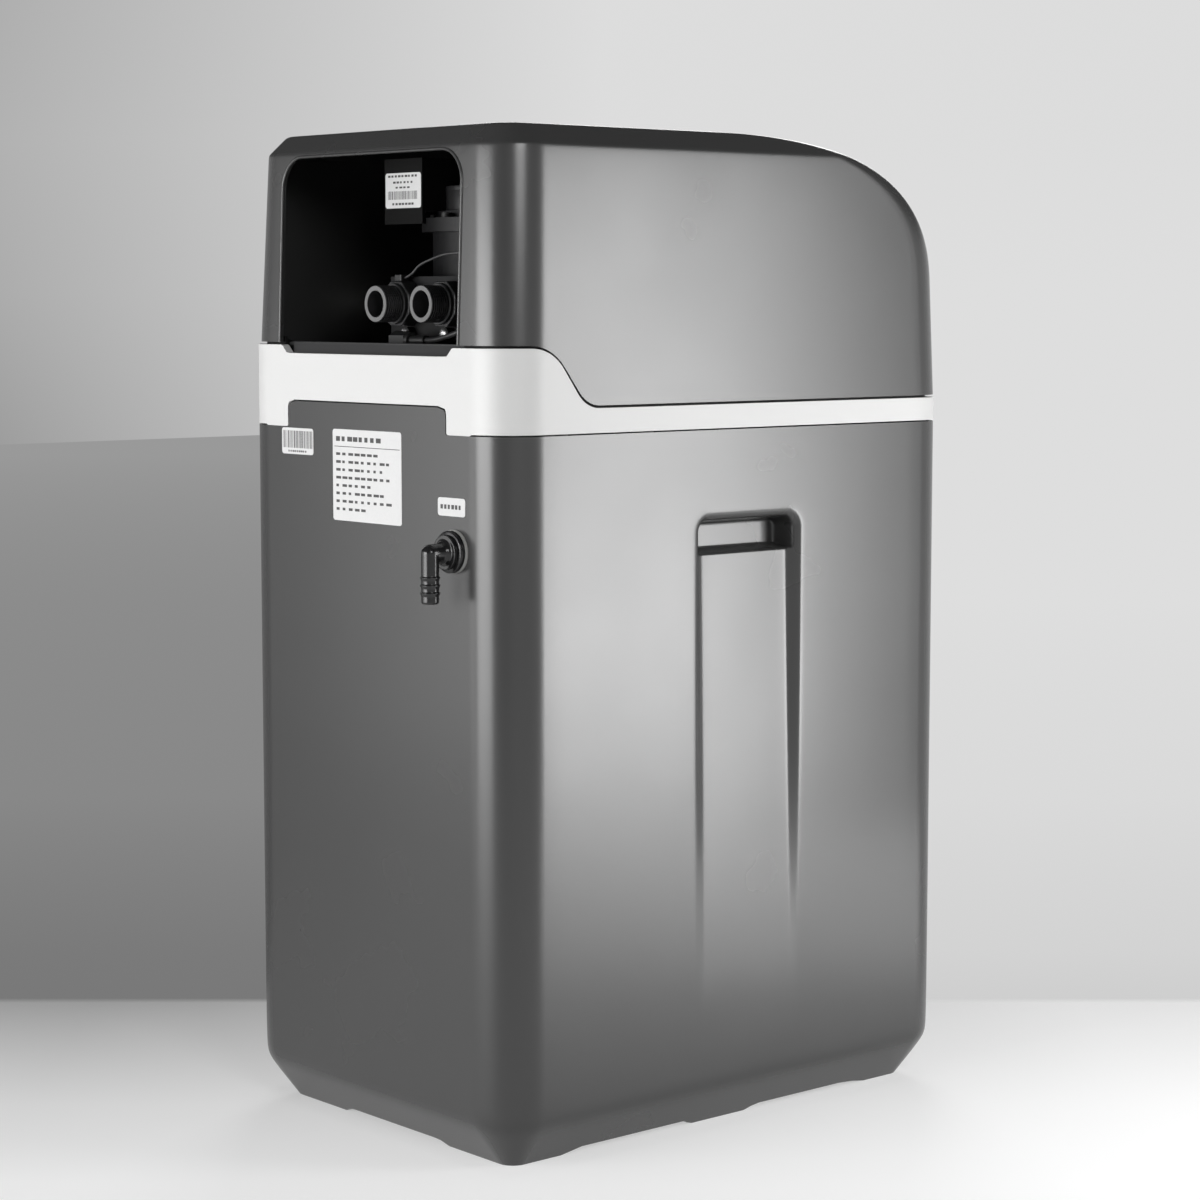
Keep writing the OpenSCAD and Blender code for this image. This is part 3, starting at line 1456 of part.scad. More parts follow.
cabinet_shell();
collar_band();
valve_deck();
deck_screws();
hood_shell();
salt_lid();
lid_hinge_pins();
overflow_gasket();
overflow_grommet();
overflow_locknut();
overflow_elbow();
resin_tank();
tank_boot();
neck_seal();
riser_tube();
bottom_distributor();
top_strainer();
valve_body();
valve_cap();
cap_screws();
fixed_disc();
rotor_disc();
rotor_shaft();
drive_gear();
gear_housing();
gear_cover();
motor_pinion();
drive_motor();
motor_cover();
inlet_adapter();
outlet_adapter();
port_seals();
port_screws();
meter_turbine();
meter_sensor();
meter_lead();
injector_cap();
drain_fitting();
brine_fitting();
brine_line();
brine_well();
brine_well_cap();
brine_valve();
brine_pickup();
float_rod();
brine_float();
salt_grid();
control_housing();
control_panel();
display_lens();
control_board();
menu_key();
down_key();
up_key();
set_key();
power_socket();
power_lead();
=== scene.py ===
"""Dresses a cabinet water softener: rounded shells, ports, overflow, leads, labels, finishes and stage."""

import json
import math

import bmesh
import bpy
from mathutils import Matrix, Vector


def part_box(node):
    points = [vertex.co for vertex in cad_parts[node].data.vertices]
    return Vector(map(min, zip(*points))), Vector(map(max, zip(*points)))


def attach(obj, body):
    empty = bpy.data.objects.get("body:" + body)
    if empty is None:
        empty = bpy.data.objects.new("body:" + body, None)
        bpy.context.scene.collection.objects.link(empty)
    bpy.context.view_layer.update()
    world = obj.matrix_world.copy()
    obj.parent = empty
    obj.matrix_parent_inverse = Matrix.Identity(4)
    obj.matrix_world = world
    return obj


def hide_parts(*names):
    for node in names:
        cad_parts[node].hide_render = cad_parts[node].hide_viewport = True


bl_info = {
    "name": "Cabinet water softener",
    "version": (1, 0, 0),
    "blender": (4, 5, 0),
    "location": "3D View > Sidebar > Softener",
    "description": "Builds the finished look of a cabinet water softener around its solid parts",
    "category": "Object",
}

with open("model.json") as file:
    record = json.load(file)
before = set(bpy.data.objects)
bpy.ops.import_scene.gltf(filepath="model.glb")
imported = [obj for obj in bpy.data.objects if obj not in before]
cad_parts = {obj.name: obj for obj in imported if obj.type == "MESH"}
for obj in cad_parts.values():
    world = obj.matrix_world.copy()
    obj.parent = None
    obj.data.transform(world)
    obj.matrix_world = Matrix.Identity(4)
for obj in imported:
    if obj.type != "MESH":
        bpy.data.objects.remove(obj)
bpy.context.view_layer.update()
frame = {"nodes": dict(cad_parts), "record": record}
CABINET_LOW, CABINET_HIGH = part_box("cabinet_shell")
COLLAR_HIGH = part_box("collar_band")[1]
GASKET_LOW, GASKET_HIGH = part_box("overflow_gasket")
MOTOR_LOW, MOTOR_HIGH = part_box("motor_cover")
TURBINE_LOW, TURBINE_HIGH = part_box("meter_turbine")
PIN_LOW, PIN_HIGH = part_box("lid_hinge_pins")
SCREW_LOW, SCREW_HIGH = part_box("port_screws")
HALF_WIDTH = CABINET_HIGH.x
REAR = CABINET_HIGH.y
FRONT = CABINET_LOW.y
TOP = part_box("hood_shell")[1].z
HINGE = (PIN_LOW + PIN_HIGH) / 2
OVERFLOW = Vector(((GASKET_LOW.x + GASKET_HIGH.x) / 2, REAR, (GASKET_LOW.z + GASKET_HIGH.z) / 2))
AXES = {
    "X": (Vector((1, 0, 0)), Vector((0, 1, 0)), Vector((0, 0, 1))),
    "Y": (Vector((0, 1, 0)), Vector((0, 0, 1)), Vector((1, 0, 0))),
    "down": (Vector((0, 0, -1)), Vector((0, 1, 0)), Vector((1, 0, 0))),
}


def length(label, default, text):
    """A size in metres."""
    return bpy.props.FloatProperty(name=label, description=text, default=default, unit="LENGTH", precision=4)


def angle(label, degrees, text):
    """An angle, given in degrees."""
    return bpy.props.FloatProperty(
        name=label, description=text, default=math.radians(degrees), subtype="ANGLE")


def colour(label, default, text):
    """A plain colour in scene-linear values."""
    return bpy.props.FloatVectorProperty(
        name=label, description=text, default=default, subtype="COLOR", min=0.0, max=1.0)


class SoftenerShell(bpy.types.PropertyGroup):
    """Sizes of the cabinet, collar, hood and lid."""

    corner_radius: length("Corner radius", 0.036, "Radius of the upright corners")
    seam_height: length("Seam height", 0.507, "Height of the seam between cabinet and collar")
    cabinet_wall: length("Cabinet wall", 0.003, "Wall of the cabinet")
    base_inset: length("Base inset", 0.024, "Inset of the base chamfer")
    base_height: length("Base height", 0.032, "Height of the base chamfer")
    base_round: length("Base rounding", 0.005, "Softness of the chamfer's upper edge")
    foot_relief: length("Foot relief", 0.004, "Height of the arches between the feet")
    side_arch_start: length("Side arch start", 0.032, "Distance of a side arch from the cabinet's middle")
    side_arch_end: length("Side arch end", 0.140, "Distance of a side arch's far end from the middle")
    rear_arch_half: length("Rear arch half width", 0.057, "Half the width of the arches at rear and front")
    tongue_half: length("Tongue half width", 0.0925, "Half the width of the tongue at the rear")
    tongue_rise: length("Tongue rise", 0.0185, "Height of the tongue above the seam")
    tongue_round: length("Tongue rounding", 0.006, "Corner radius of the tongue")
    collar_wall: length("Collar wall", 0.006, "Wall of the collar")
    collar_low: length("Collar front height", 0.018, "Height of the collar at the front and sides")
    step_foot: length("Step foot", 0.085, "Distance from the rear face to the foot of the step")
    step_angle: angle("Step angle", 54.0, "Slope of the step")
    step_top_radius: length("Step top radius", 0.034, "Radius at the top of the step")
    step_foot_radius: length("Step foot radius", 0.024, "Radius at the foot of the step")
    sill_half: length("Sill half width", 0.100, "Half the width of the sill in the collar")
    sill_drop: length("Sill drop", 0.006, "Depth of the sill in the collar")
    part_gap: length("Parting gap", 0.0018, "Open seam between hood and collar")
    tongue_gap: length("Tongue gap", 0.0010, "Open seam between cabinet and collar")
    hood_wall: length("Hood wall", 0.003, "Wall of hood and lid")
    hood_draft: length("Hood draft", 0.0065, "Inset of the hood's sides at the bevel")
    bevel_height: length("Bevel height", 0.0138, "Height of the bevel round the top")
    bevel_width: length("Bevel width", 0.014, "Width of the bevel round the top")
    bevel_round: length("Bevel rounding", 0.0009, "Softness of the bevel's lower edge")
    top_round: length("Top rounding", 0.008, "Radius between bevel and top")
    top_flat: length("Flat top", 0.212, "Length of the flat top from the rear face")
    nose_height: length("Nose height", 0.111, "Height of the curved nose")
    nose_power: bpy.props.FloatProperty(
        name="Nose fullness", description="Fullness of the nose curve", default=2.6)
    bay_half: length("Bay half width", 0.105, "Half the width of the rear opening")
    bay_drop: length("Bay drop", 0.0166, "Drop of the rear opening's top edge below the hood's top")
    bay_round: length("Bay rounding", 0.023, "Corner radius of the rear opening")
    bay_lip: length("Bay lip", 0.0012, "Radius of the bead round the rear opening")
    sill_reach: length("Sill reach", 0.0105, "Depth of the sloping sill behind the rear face")
    sill_rise: length("Sill rise", 0.0083, "Rise of the sloping sill")
    lid_half: length("Lid half width", 0.118, "Half the width of the salt lid")
    lid_gap: length("Lid gap", 0.0008, "Open seam round the lid")
    lid_rise: length("Lid rise", 0.038, "Height of the lid's lower edge above the seam")
    lid_rear: length("Lid rear", 0.253, "Distance from the rear face to the lid's rear edge")
    slot_half: length("Slot half width", 0.1028, "Half the width of the hinge slot")
    slot_rear: length("Slot rear", 0.234, "Distance from the rear face to the hinge slot's rear edge")
    edge_round: length("Edge rounding", 0.0011, "Rounding of the shells' cut edges")
    rim_inset: length("Rim inset", 0.0063, "Inset of the hood's inner rim")
    rim_wall: length("Rim wall", 0.0025, "Wall of the hood's inner rim")
    rim_drop: length("Rim drop", 0.010, "Reach of the rim below the parting line")
    rim_rise: length("Rim rise", 0.006, "Reach of the rim above the parting line")
    rest_width: length("Lid rest width", 0.008, "Half the width of the rest under the lid's edge")
    rest_wall: length("Lid rest wall", 0.0026, "Wall of the rest under the lid's edge")
    barrel_half: length("Barrel half width", 0.102, "Half the width of the lid's hinge barrel")
    barrel_radius: length("Barrel radius", 0.005, "Radius of the lid's hinge barrel")
    ledge_width: length("Ledge width", 0.018, "Width of the ledge inside the collar")
    ledge_height: length("Ledge height", 0.004, "Height of the ledge inside the collar")


class SoftenerPort(bpy.types.PropertyGroup):
    """Sizes of the two pipe ports."""

    thread_radius: length("Thread radius", 0.0132, "Radius over the thread")
    ridge_radius: length("Ridge radius", 0.00075, "Radius of the thread's rounded ridge")
    pitch: length("Thread pitch", 0.001814, "Distance between the thread's turns")
    thread_length: length("Thread length", 0.018, "Length of the threaded end")
    bore: length("Port bore", 0.0094, "Radius of the bore")
    shoulder: length("Shoulder radius", 0.0147, "Radius of the round shoulder behind the thread")
    collar_half: length("Collar half width", 0.016, "Half the width across the collar's flats")
    collar_length: length("Collar length", 0.012, "Length of the eight-sided collar")
    collar_round: length("Collar rounding", 0.0035, "Rounding of the collar's corners")
    spigot_radius: length("Spigot radius", 0.013, "Radius of the end in the valve")
    spigot_length: length("Spigot length", 0.022, "Length of the end in the valve")
    web: length("Web", 0.002, "Thickness of the webs that carry the turbine")
    screw_head: length("Screw head radius", 0.0042, "Radius of the screw heads under the ports")
    screw_rise: length("Screw head height", 0.0030, "Height of the screw heads under the ports")


class SoftenerOverflow(bpy.types.PropertyGroup):
    """Sizes of the overflow on the rear wall."""

    gasket_radius: length("Gasket radius", 0.015, "Radius of the gasket")
    gasket: length("Gasket", 0.002, "Thickness of the gasket")
    neck: length("Neck radius", 0.0096, "Radius of the grommet's neck in the wall")
    flange_radius: length("Flange radius", 0.0145, "Radius of the grommet's flange")
    flange: length("Flange", 0.004, "Thickness of the grommet's flange")
    depth: length("Neck depth", 0.012, "Reach of the grommet behind the wall")
    ring_radius: length("Ring radius", 0.012, "Radius of the elbow's own flange")
    ring: length("Ring", 0.003, "Thickness of the elbow's own flange")
    play: length("Play", 0.0003, "Gap between elbow and grommet")
    tube: length("Tube radius", 0.00615, "Radius of the elbow's tube")
    bore: length("Tube bore", 0.0043, "Bore of the elbow's tube")
    reach: length("Reach", 0.021, "Distance of the leg from the wall")
    drop: length("Drop", 0.0344, "Length of the leg below the elbow's axis")
    barb: length("Barb radius", 0.007, "Radius over the hose barbs")
    barb_length: length("Barb length", 0.0026, "Length of one barb")
    barb_pitch: length("Barb pitch", 0.0053, "Distance between barbs")
    barb_end: length("Barb start", 0.0055, "Distance of the lowest barb from the end")


class SoftenerLabels(bpy.types.PropertyGroup):
    """Sizes of the plain labels."""

    paper: length("Paper", 0.00018, "Thickness of the label paper")
    ink: length("Ink", 0.00004, "Thickness of the printed bars")
    corner: length("Corner", 0.0022, "Corner radius of a label")
    seed: bpy.props.IntProperty(name="Seed", description="Seed of the bars' lengths", default=7)


class SoftenerGrip(bpy.types.PropertyGroup):
    """Sizes of the recessed grips in the cabinet's sides."""

    half: length("Grip half width", 0.051, "Half the width of a grip")
    ahead: length("Grip offset", 0.007, "Place of the grips ahead of the cabinet's middle")
    drop: length("Grip drop", 0.060, "Drop of the grip's top edge below the seam")
    run: length("Grip length", 0.347, "Length of the tapering channel")
    corner: length("Grip corner", 0.013, "Corner radius of a grip")
    channel: length("Channel depth", 0.007, "Depth of the channel at its top")
    slope: length("Channel slope", 0.008, "Width of the channel's sloping sides")
    pocket: length("Pocket depth", 0.014, "Depth of the finger pocket behind the channel")
    pocket_height: length("Pocket height", 0.029, "Height of the finger pocket")
    lip: length("Lip rounding", 0.0013, "Softness of the grip's edge")


class SoftenerFinish(bpy.types.PropertyGroup):
    """Colours of the finishes."""

    grey: colour("Grey plastic", (0.043, 0.043, 0.043), "Moulded plastic of cabinet, hood and lid")
    white: colour("White plastic", (0.68, 0.68, 0.675), "Moulded plastic of the collar")
    black: colour("Black plastic", (0.012, 0.012, 0.0125), "Plastic inside the bay")
    # Painted shade: near-black for the hood's inner faces, its inner rim and the lid rest, in place of their
    # grey plastic
    lining: colour("Inner painted shade", (0.008, 0.008, 0.008), "Unlit inner side of the hood")
    paper: colour("Label paper", (0.68, 0.68, 0.68), "Paper of the labels")
    ink: colour("Label ink", (0.06, 0.06, 0.06), "Bars on the labels")
    port: colour("Port plastic", (0.024, 0.024, 0.025), "Plastic of the pipe ports")
    # Painted light: the ports' end faces get this grey, much lighter than the port plastic, to stand in for
    # the light they catch
    port_face: colour("Port face", (0.16, 0.16, 0.16), "Cut face at the ports' ends")
    gasket: colour("Gasket rubber", (0.34, 0.34, 0.33), "Rubber of the overflow's gasket")
    jacket: colour("Lead jacket", (0.030, 0.030, 0.031), "Jacket of the leads")
    pale: colour("Pale plastic", (0.70, 0.70, 0.67), "Natural plastic of tubes and fittings")


class SoftenerStage(bpy.types.PropertyGroup):
    """Camera, lamps, floor and backdrop."""

    camera_place: bpy.props.FloatVectorProperty(
        name="Camera place", description="Where the camera stands", default=(-1.6770, 1.4380, 0.6008),
        subtype="TRANSLATION", unit="LENGTH")
    camera_heading: angle("Camera heading", 130.8698, "Heading of the view, from +Y towards +X")
    camera_pitch: angle("Camera pitch", -5.8826, "Rise of the view above the horizon")
    camera_lens: bpy.props.FloatProperty(
        name="Camera lens", description="Focal length in millimetres on a 36 mm sensor", default=88.40)
    floor: colour("Floor", (0.50, 0.50, 0.50), "Pale floor")
    fill: bpy.props.FloatProperty(name="Fill", description="Even light from all round", default=0.06, min=0.0)
    horizon: length("Horizon", 0.27, "Distance behind the origin at which the floor turns into the backdrop")


# Shapes

def soft_hinge(value, softness):
    """Zero below 0 and the value itself above, with a rounded bend between."""
    return 0.5 * (value + math.hypot(value, softness))


def lerp(a, b, t):
    """Point or number between two others."""
    return a + (b - a) * t


def steps(start, end, count):
    """Evenly spaced values, both ends included."""
    return [lerp(start, end, i / count) for i in range(count + 1)]


def run_steps(ends, counts):
    """Evenly spaced values on several runs in a row."""
    marks = [ends[0]]
    for first, last, count in zip(ends, ends[1:], counts):
        marks.extend(steps(first, last, count)[1:])
    return marks


def eased(share):
    """Smooth rise from 0 to 1."""
    share = min(1.0, max(0.0, share))
    return share * share * (3.0 - 2.0 * share)


def mirrored(points):
    """The same points on the other side of the middle plane."""
    return [Vector((-p.x, p.y, p.z)) for p in points]


def corner_arc(before, corner, after, radius, parts):
    """Points of an arc that rounds one corner of an outline."""
    corner = Vector(corner)
    back = (Vector(before) - corner).normalized()
    ahead = (Vector(after) - corner).normalized()
    half = back.angle(ahead) / 2
    reach = radius / math.tan(half)
    centre = corner + (back + ahead).normalized() * (radius / math.sin(half))
    first = corner + back * reach - centre
    last = corner + ahead * reach - centre
    sweep = first.angle_signed(last)
    points = []
    for i in range(parts + 1):
        turn = -sweep * i / parts
        cos, sin = math.cos(turn), math.sin(turn)
        points.append(centre + Vector((first.x * cos - first.y * sin, first.x * sin + first.y * cos)))
    return points


def rounded_path(corners, radii, parts=6):
    """Open path in a plane whose inner corners are arcs of the given radii."""
    path = [Vector(corners[0])]
    for before, corner, after, radius in zip(corners, corners[1:], corners[2:], radii):
        path.extend(corner_arc(before, corner, after, radius, parts))
    return path + [Vector(corners[-1])]


def rounded_ring(corners, radius, parts=6):
    """Closed outline in a plane whose corners are arcs."""
    ring = []
    for i, corner in enumerate(corners):
        ring.extend(corner_arc(corners[i - 1], corner, corners[(i + 1) % len(corners)], radius, parts))
    return ring


def along_path(path, fractions):
    """Points at the given fractions of a path's length."""
    marks = [0.0]
    for a, b in zip(path, path[1:]):
        marks.append(marks[-1] + (b - a).length)
    points = []
    for fraction in fractions:
        goal = fraction * marks[-1]
        k = max(i for i in range(len(path) - 1) if marks[i] <= goal + 1e-9)
        span = marks[k + 1] - marks[k]
        points.append(path[k].lerp(path[k + 1], min(1.0, (goal - marks[k]) / span) if span else 0.0))
    return points


def put(name, data):
    """New object in the scene."""
    piece = bpy.data.objects.new(name, data)
    bpy.context.scene.collection.objects.link(piece)
    return piece


class Skin:
    """Gathers grids of points into one mesh and merges what coincides."""

    def __init__(self):
        self.mesh = bmesh.new()

    def grid(self, rows, closed=False, flip=False):
        """Quads between rows of points; a closed grid joins its last column to the first."""
        made = [[self.mesh.verts.new(point) for point in row] for row in rows]
        wide = len(made[0])
        for low, high in zip(made, made[1:]):
            for i in range(wide if closed else wide - 1):
                j = (i + 1) % wide
                ring = (low[i], low[j], high[j], high[i])
                self.mesh.faces.new(ring[::-1] if flip else ring)

    def both_sides(self, rows):
        """A grid on the +X side and its mirror image on the other."""
        self.grid(rows)
        self.grid([mirrored(row) for row in rows], flip=True)

    def turned(self, profile, centre, axis, parts=64):
        """Surface turned about an axis; the profile gives distances along it and radii."""
        along, side, other = AXES[axis]
        rows = []
        for distance, radius in profile:
            row = []
            for i in range(parts):
                turn = 2.0 * math.pi * i / parts
                row.append(centre + along * distance + side * (radius * math.cos(turn))
                           + other * (radius * math.sin(turn)))
            rows.append(row)
        self.grid(rows, closed=True)

    def block(self, ring, centre, axis, low, high):
        """Straight solid over a closed outline."""
        along, side, other = AXES[axis]
        area = sum(a.x * b.y - a.y * b.x for a, b in zip(ring, ring[1:] + ring[:1]))
        ring = ring if area > 0.0 else ring[::-1]
        flat = [centre + side * p.x + other * p.y for p in ring]
        rows = [[p + along * level for p in flat] for level in (low, high)]
        self.grid(rows, closed=True)
        self.plate(rows[0], flip=True)
        self.plate(rows[1])

    def plate(self, points, flip=False):
        """One flat face."""
        made = [self.mesh.verts.new(point) for point in points]
        self.mesh.faces.new(made[::-1] if flip else made)

    def piece(self, name, crease=None):
        """The finished object, with smooth faces that break at edges sharper than the crease in degrees."""
        bmesh.ops.remove_doubles(self.mesh, verts=self.mesh.verts, dist=2e-6)
        bmesh.ops.dissolve_degenerate(self.mesh, dist=1e-7, edges=self.mesh.edges)
        data = bpy.data.meshes.new(name)
        self.mesh.to_mesh(data)
        self.mesh.free()
        data.shade_smooth()
        if crease:
            data.set_sharp_from_angle(angle=math.radians(crease))
        return put(name, data)


def sheet(name, rows, closed=False, crease=None):
    """Piece from one grid of points."""
    skin = Skin()
    skin.grid(rows, closed)
    return skin.piece(name, crease)


def lathe(name, profile, centre, crease):
    """Piece turned about a line along Y."""
    skin = Skin()
    skin.turned(profile, centre, "Y", 96)
    return skin.piece(name, crease)


def settle(piece):
    """Applies a piece's modifiers, so that it is a plain mesh."""
    bpy.context.view_layer.update()
    done = piece.evaluated_get(bpy.context.evaluated_depsgraph_get())
    data = bpy.data.meshes.new_from_object(done)
    piece.modifiers.clear()
    piece.data = data
    data.name = piece.name
    return piece


def add_rounding(piece, width, degrees):
    """Adds a step that rounds the edges sharper than an angle."""
    step = piece.modifiers.new("Edges", "BEVEL")
    step.width = width
    step.segments = 3
    step.limit_method = "ANGLE"
    step.angle_limit = math.radians(degrees)
    step.harden_normals = True


def thicken(piece, wall, rounding, inner_slot=0):
    """Gives an open skin its wall and rounds the edges of the cut; inner_slot moves the inner faces and the
    cut's rim to a later slot, which the hood fills with painted shade.
    """
    step = piece.modifiers.new("Wall", "SOLIDIFY")
    step.thickness = wall
    step.offset = -1.0
    step.material_offset = inner_slot
    step.material_offset_rim = inner_slot
    add_rounding(piece, rounding, 50.0)
    return settle(piece)


def joined(name, pieces):
    """One piece from several, which it takes the place of."""
    mesh = bmesh.new()
    paints = list(pieces[0].data.materials)
    for piece in pieces:
        mesh.from_mesh(piece.data)
        bpy.data.objects.remove(piece)
    data = bpy.data.meshes.new(name)
    mesh.to_mesh(data)
    mesh.free()
    for paint in paints:
        data.materials.append(paint)
    return put(name, data)


def tube(name, path, radius, sides):
    """Closed round rod along a path."""
    side = Vector((0.3, 0.5, 0.8))
    rows = []
    for i, spot in enumerate(path):
        ahead = (path[min(i + 1, len(path) - 1)] - path[max(i - 1, 0)]).normalized()
        side = (side - ahead * side.dot(ahead)).normalized()
        other = ahead.cross(side)
        rows.append([spot + radius * (side * math.cos(turn) + other * math.sin(turn))
                     for turn in steps(0.0, 2 * math.pi, sides)[:-1]])
    skin = Skin()
    skin.grid(rows, closed=True)
    skin.plate(rows[0], flip=True)
    skin.plate(rows[-1])
    return skin.piece(name, crease=50.0)


def dress(piece, nodes, slot, *paints, body="cabinet"):
    """Gives a piece its finishes and its body, and hides the nodes that it stands for; the slot is not used.
    """
    for paint in paints:
        piece.data.materials.append(finishes()[paint])
    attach(piece, body)
    if nodes:
        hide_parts(*nodes)


# Plan and parting line

def plan_columns(rear_marks, side_marks, corner_parts):
    """Points and outward normals round the cabinet's plan, anticlockwise from the rear's +X end."""
    s = bpy.context.scene.softener_shell
    r = s.corner_radius
    cx = HALF_WIDTH - r
    rear_y = REAR - r
    front_y = FRONT + r
    columns = [(x, REAR, 0.0, 1.0) for x in rear_marks]

    def corner(x, y, start):
        for i in range(1, corner_parts):
            turn = math.radians(start + 90.0 * i / corner_parts)
            nx, ny = math.cos(turn), math.sin(turn)
            columns.append((x + r * nx, y + r * ny, nx, ny))

    corner(-cx, rear_y, 90.0)
    columns.extend((-HALF_WIDTH, y, -1.0, 0.0) for y in side_marks)
    corner(-cx, front_y, 180.0)
    columns.extend((x, FRONT, 0.0, -1.0) for x in steps(-cx, cx, 24))
    corner(cx, front_y, 270.0)
    columns.extend((HALF_WIDTH, y, 1.0, 0.0) for y in reversed(side_marks))
    corner(cx, rear_y, 0.0)
    return columns


def step_height(y, lift=0.0):
    """Height of the parting line at a depth, moved up square to itself."""
    s = bpy.context.scene.softener_shell
    low = s.seam_height + s.collar_low
    high = COLLAR_HIGH.z
    foot_y = REAR - s.step_foot
    foot_r = s.step_foot_radius - lift
    top_r = s.step_top_radius + lift
    sin, cos = math.sin(s.step_angle), math.cos(s.step_angle)
    straight = high - low - (s.step_top_radius + s.step_foot_radius) * (1.0 - cos)
    top_y = foot_y + (s.step_top_radius + s.step_foot_radius) * sin + straight * cos / sin
    if y <= foot_y:
        return low + lift
    if y <= foot_y + foot_r * sin:
        return low + s.step_foot_radius - math.sqrt(foot_r ** 2 - (y - foot_y) ** 2)
    if y >= top_y:
        return high + lift
    if y >= top_y - top_r * sin:
        return high - s.step_top_radius + math.sqrt(top_r ** 2 - (top_y - y) ** 2)
    start_z = low + s.step_foot_radius - foot_r * cos
    return start_z + (y - foot_y - foot_r * sin) * sin / cos


def tongue_path(grow):
    """Upper edge of the cabinet's rear wall from +X to -X, with its tongue."""
    s = bpy.context.scene.softener_shell
    edge = HALF_WIDTH - s.corner_radius
    half = s.tongue_half + grow
    low = s.seam_height
    high = low + s.tongue_rise + grow
    foot_round = 0.0015
    corners = [(edge, low), (half, low), (half, high), (-half, high), (-half, low), (-edge, low)]
    return rounded_path(corners, [foot_round, s.tongue_round, s.tongue_round, foot_round])


RUNS = (14, 18, 24, 18, 14)


def by_runs(path):
    """Evenly spaced points on a path's five runs, which meet in the middles of its four rounded corners."""
    cuts = [0, 4, 11, 18, 25, len(path) - 1]
    points = [path[0]]
    for first, last, count in zip(cuts, cuts[1:], RUNS):
        points.extend(along_path(path[first:last + 1], steps(0.0, 1.0, count)[1:]))
    return points


def rear_runs():
    """Marks across the rear wall, one for each point that by_runs gives."""
    s = bpy.context.scene.softener_shell
    edge = HALF_WIDTH - s.corner_radius
    half = s.tongue_half
    inner = half - 0.010
    return run_steps([edge, half, inner, -inner, -half, -edge], RUNS)


# Cabinet

def grip_depth(y, z):
    """Depth of the grip's recess in a side wall."""
    g = bpy.context.scene.softener_grip
    s = bpy.context.scene.softener_shell
    top = s.seam_height - g.drop
    across = g.half - abs(y - ((REAR + FRONT) / 2 - g.ahead))
    down = top - z
    if across < -6 * g.lip or down < -6 * g.lip or down > g.run * 1.1:
        return 0.0
    inside = min(across, down)
    if across < g.corner and down < g.corner:
        inside = g.corner - math.hypot(g.corner - across, g.corner - down)
    taper = g.channel * soft_hinge(g.run - down, 0.02) / (g.run - g.pocket_height)
    wall = soft_hinge(inside, g.lip) - soft_hinge(inside - g.slope, g.lip)
    channel = taper * wall / g.slope
    ledge = g.pocket_height - down
    inner = inside - 0.45 * g.slope
    bend, wall_run = 0.004, 0.0045
    edge = min(inner, ledge)
    if inner < bend and ledge < bend:
        edge = bend - math.hypot(bend - inner, bend - ledge)
    return channel + g.pocket * eased(edge / wall_run)


def arch_height(x, y):
    """Height of the base's lower edge, raised between the feet."""
    s = bpy.context.scene.softener_shell
    middle = (REAR + FRONT) / 2
    ramp = 0.008
    along = abs(y - middle)
    side = min(along - s.side_arch_start, s.side_arch_end - along)
    if min(abs(y - REAR), abs(y - FRONT)) < s.corner_radius:
        side = s.rear_arch_half - abs(x)
    return s.foot_relief * eased(0.5 + side / ramp)


def build_cabinet():
    """Brine cabinet with chamfered base, feet, grips and the rear tongue."""
    s = bpy.context.scene.softener_shell
    g = bpy.context.scene.softener_grip
    count = sum(RUNS)
    path = by_runs(tongue_path(0.0))
    middle = (REAR + FRONT) / 2 - g.ahead
    near, far = g.half - 0.012, g.half + 0.006
    ends = [FRONT + s.corner_radius, middle - far, middle - near, middle + near, middle + far,
            REAR - s.corner_radius]
    columns = plan_columns(rear_runs(), run_steps(ends, (8, 26, 12, 26, 8))[::-1], 18)
    grip_top = s.seam_height - g.drop
    base_top = s.base_height + 0.012
    fine_low = grip_top - g.pocket_height - 0.012
    fine_high = grip_top + 0.008
    heights = run_steps([base_top, fine_low, fine_high, s.seam_height - 0.024], (36, 62, 4))

    def chamfer(z):
        return s.base_inset / s.base_height * soft_hinge(s.base_height - z, s.base_round)

    rows = []
    for t in steps(0.0, 1.0, 14):
        row = []
        for x, y, nx, ny in columns:
            z = lerp(arch_height(x, y), base_top, t)
            row.append(Vector((x - nx * chamfer(z), y - ny * chamfer(z), z)))
        rows.append(row)
    for z in heights[1:]:
        row = []
        for x, y, nx, ny in columns:
            recess = grip_depth(y, z) if abs(nx) == 1.0 else 0.0
            row.append(Vector((x - nx * (chamfer(z) + recess), y - ny * chamfer(z), z)))
        rows.append(row)
    start = heights[-1]
    for t in steps(0.0, 1.0, 6)[1:]:
        row = []
        for i, (x, y, *_) in enumerate(columns):
            goal = path[i] if i <= count else Vector((x, s.seam_height))
            row.append(Vector((lerp(x, goal.x, t), y, lerp(start, goal.y, t))))
        rows.append(row)
    skin = Skin()
    skin.grid(rows, closed=True)
    inset = s.base_inset + 0.022
    shrink = 0.97
    foot_edge = []
    floor_edge = []
    for (x, y, nx, ny), point in zip(columns, rows[0]):
        spot = Vector((x - nx * inset, y - ny * inset, point.z))
        foot_edge.append(spot)
        floor_edge.append(Vector((spot.x * shrink, spot.y * shrink, s.foot_relief)))
    skin.grid([floor_edge, foot_edge, rows[0]], closed=True)
    skin.plate(floor_edge, flip=True)
    return thicken(skin.piece("cabinet"), s.cabinet_wall, s.edge_round)


# Collar

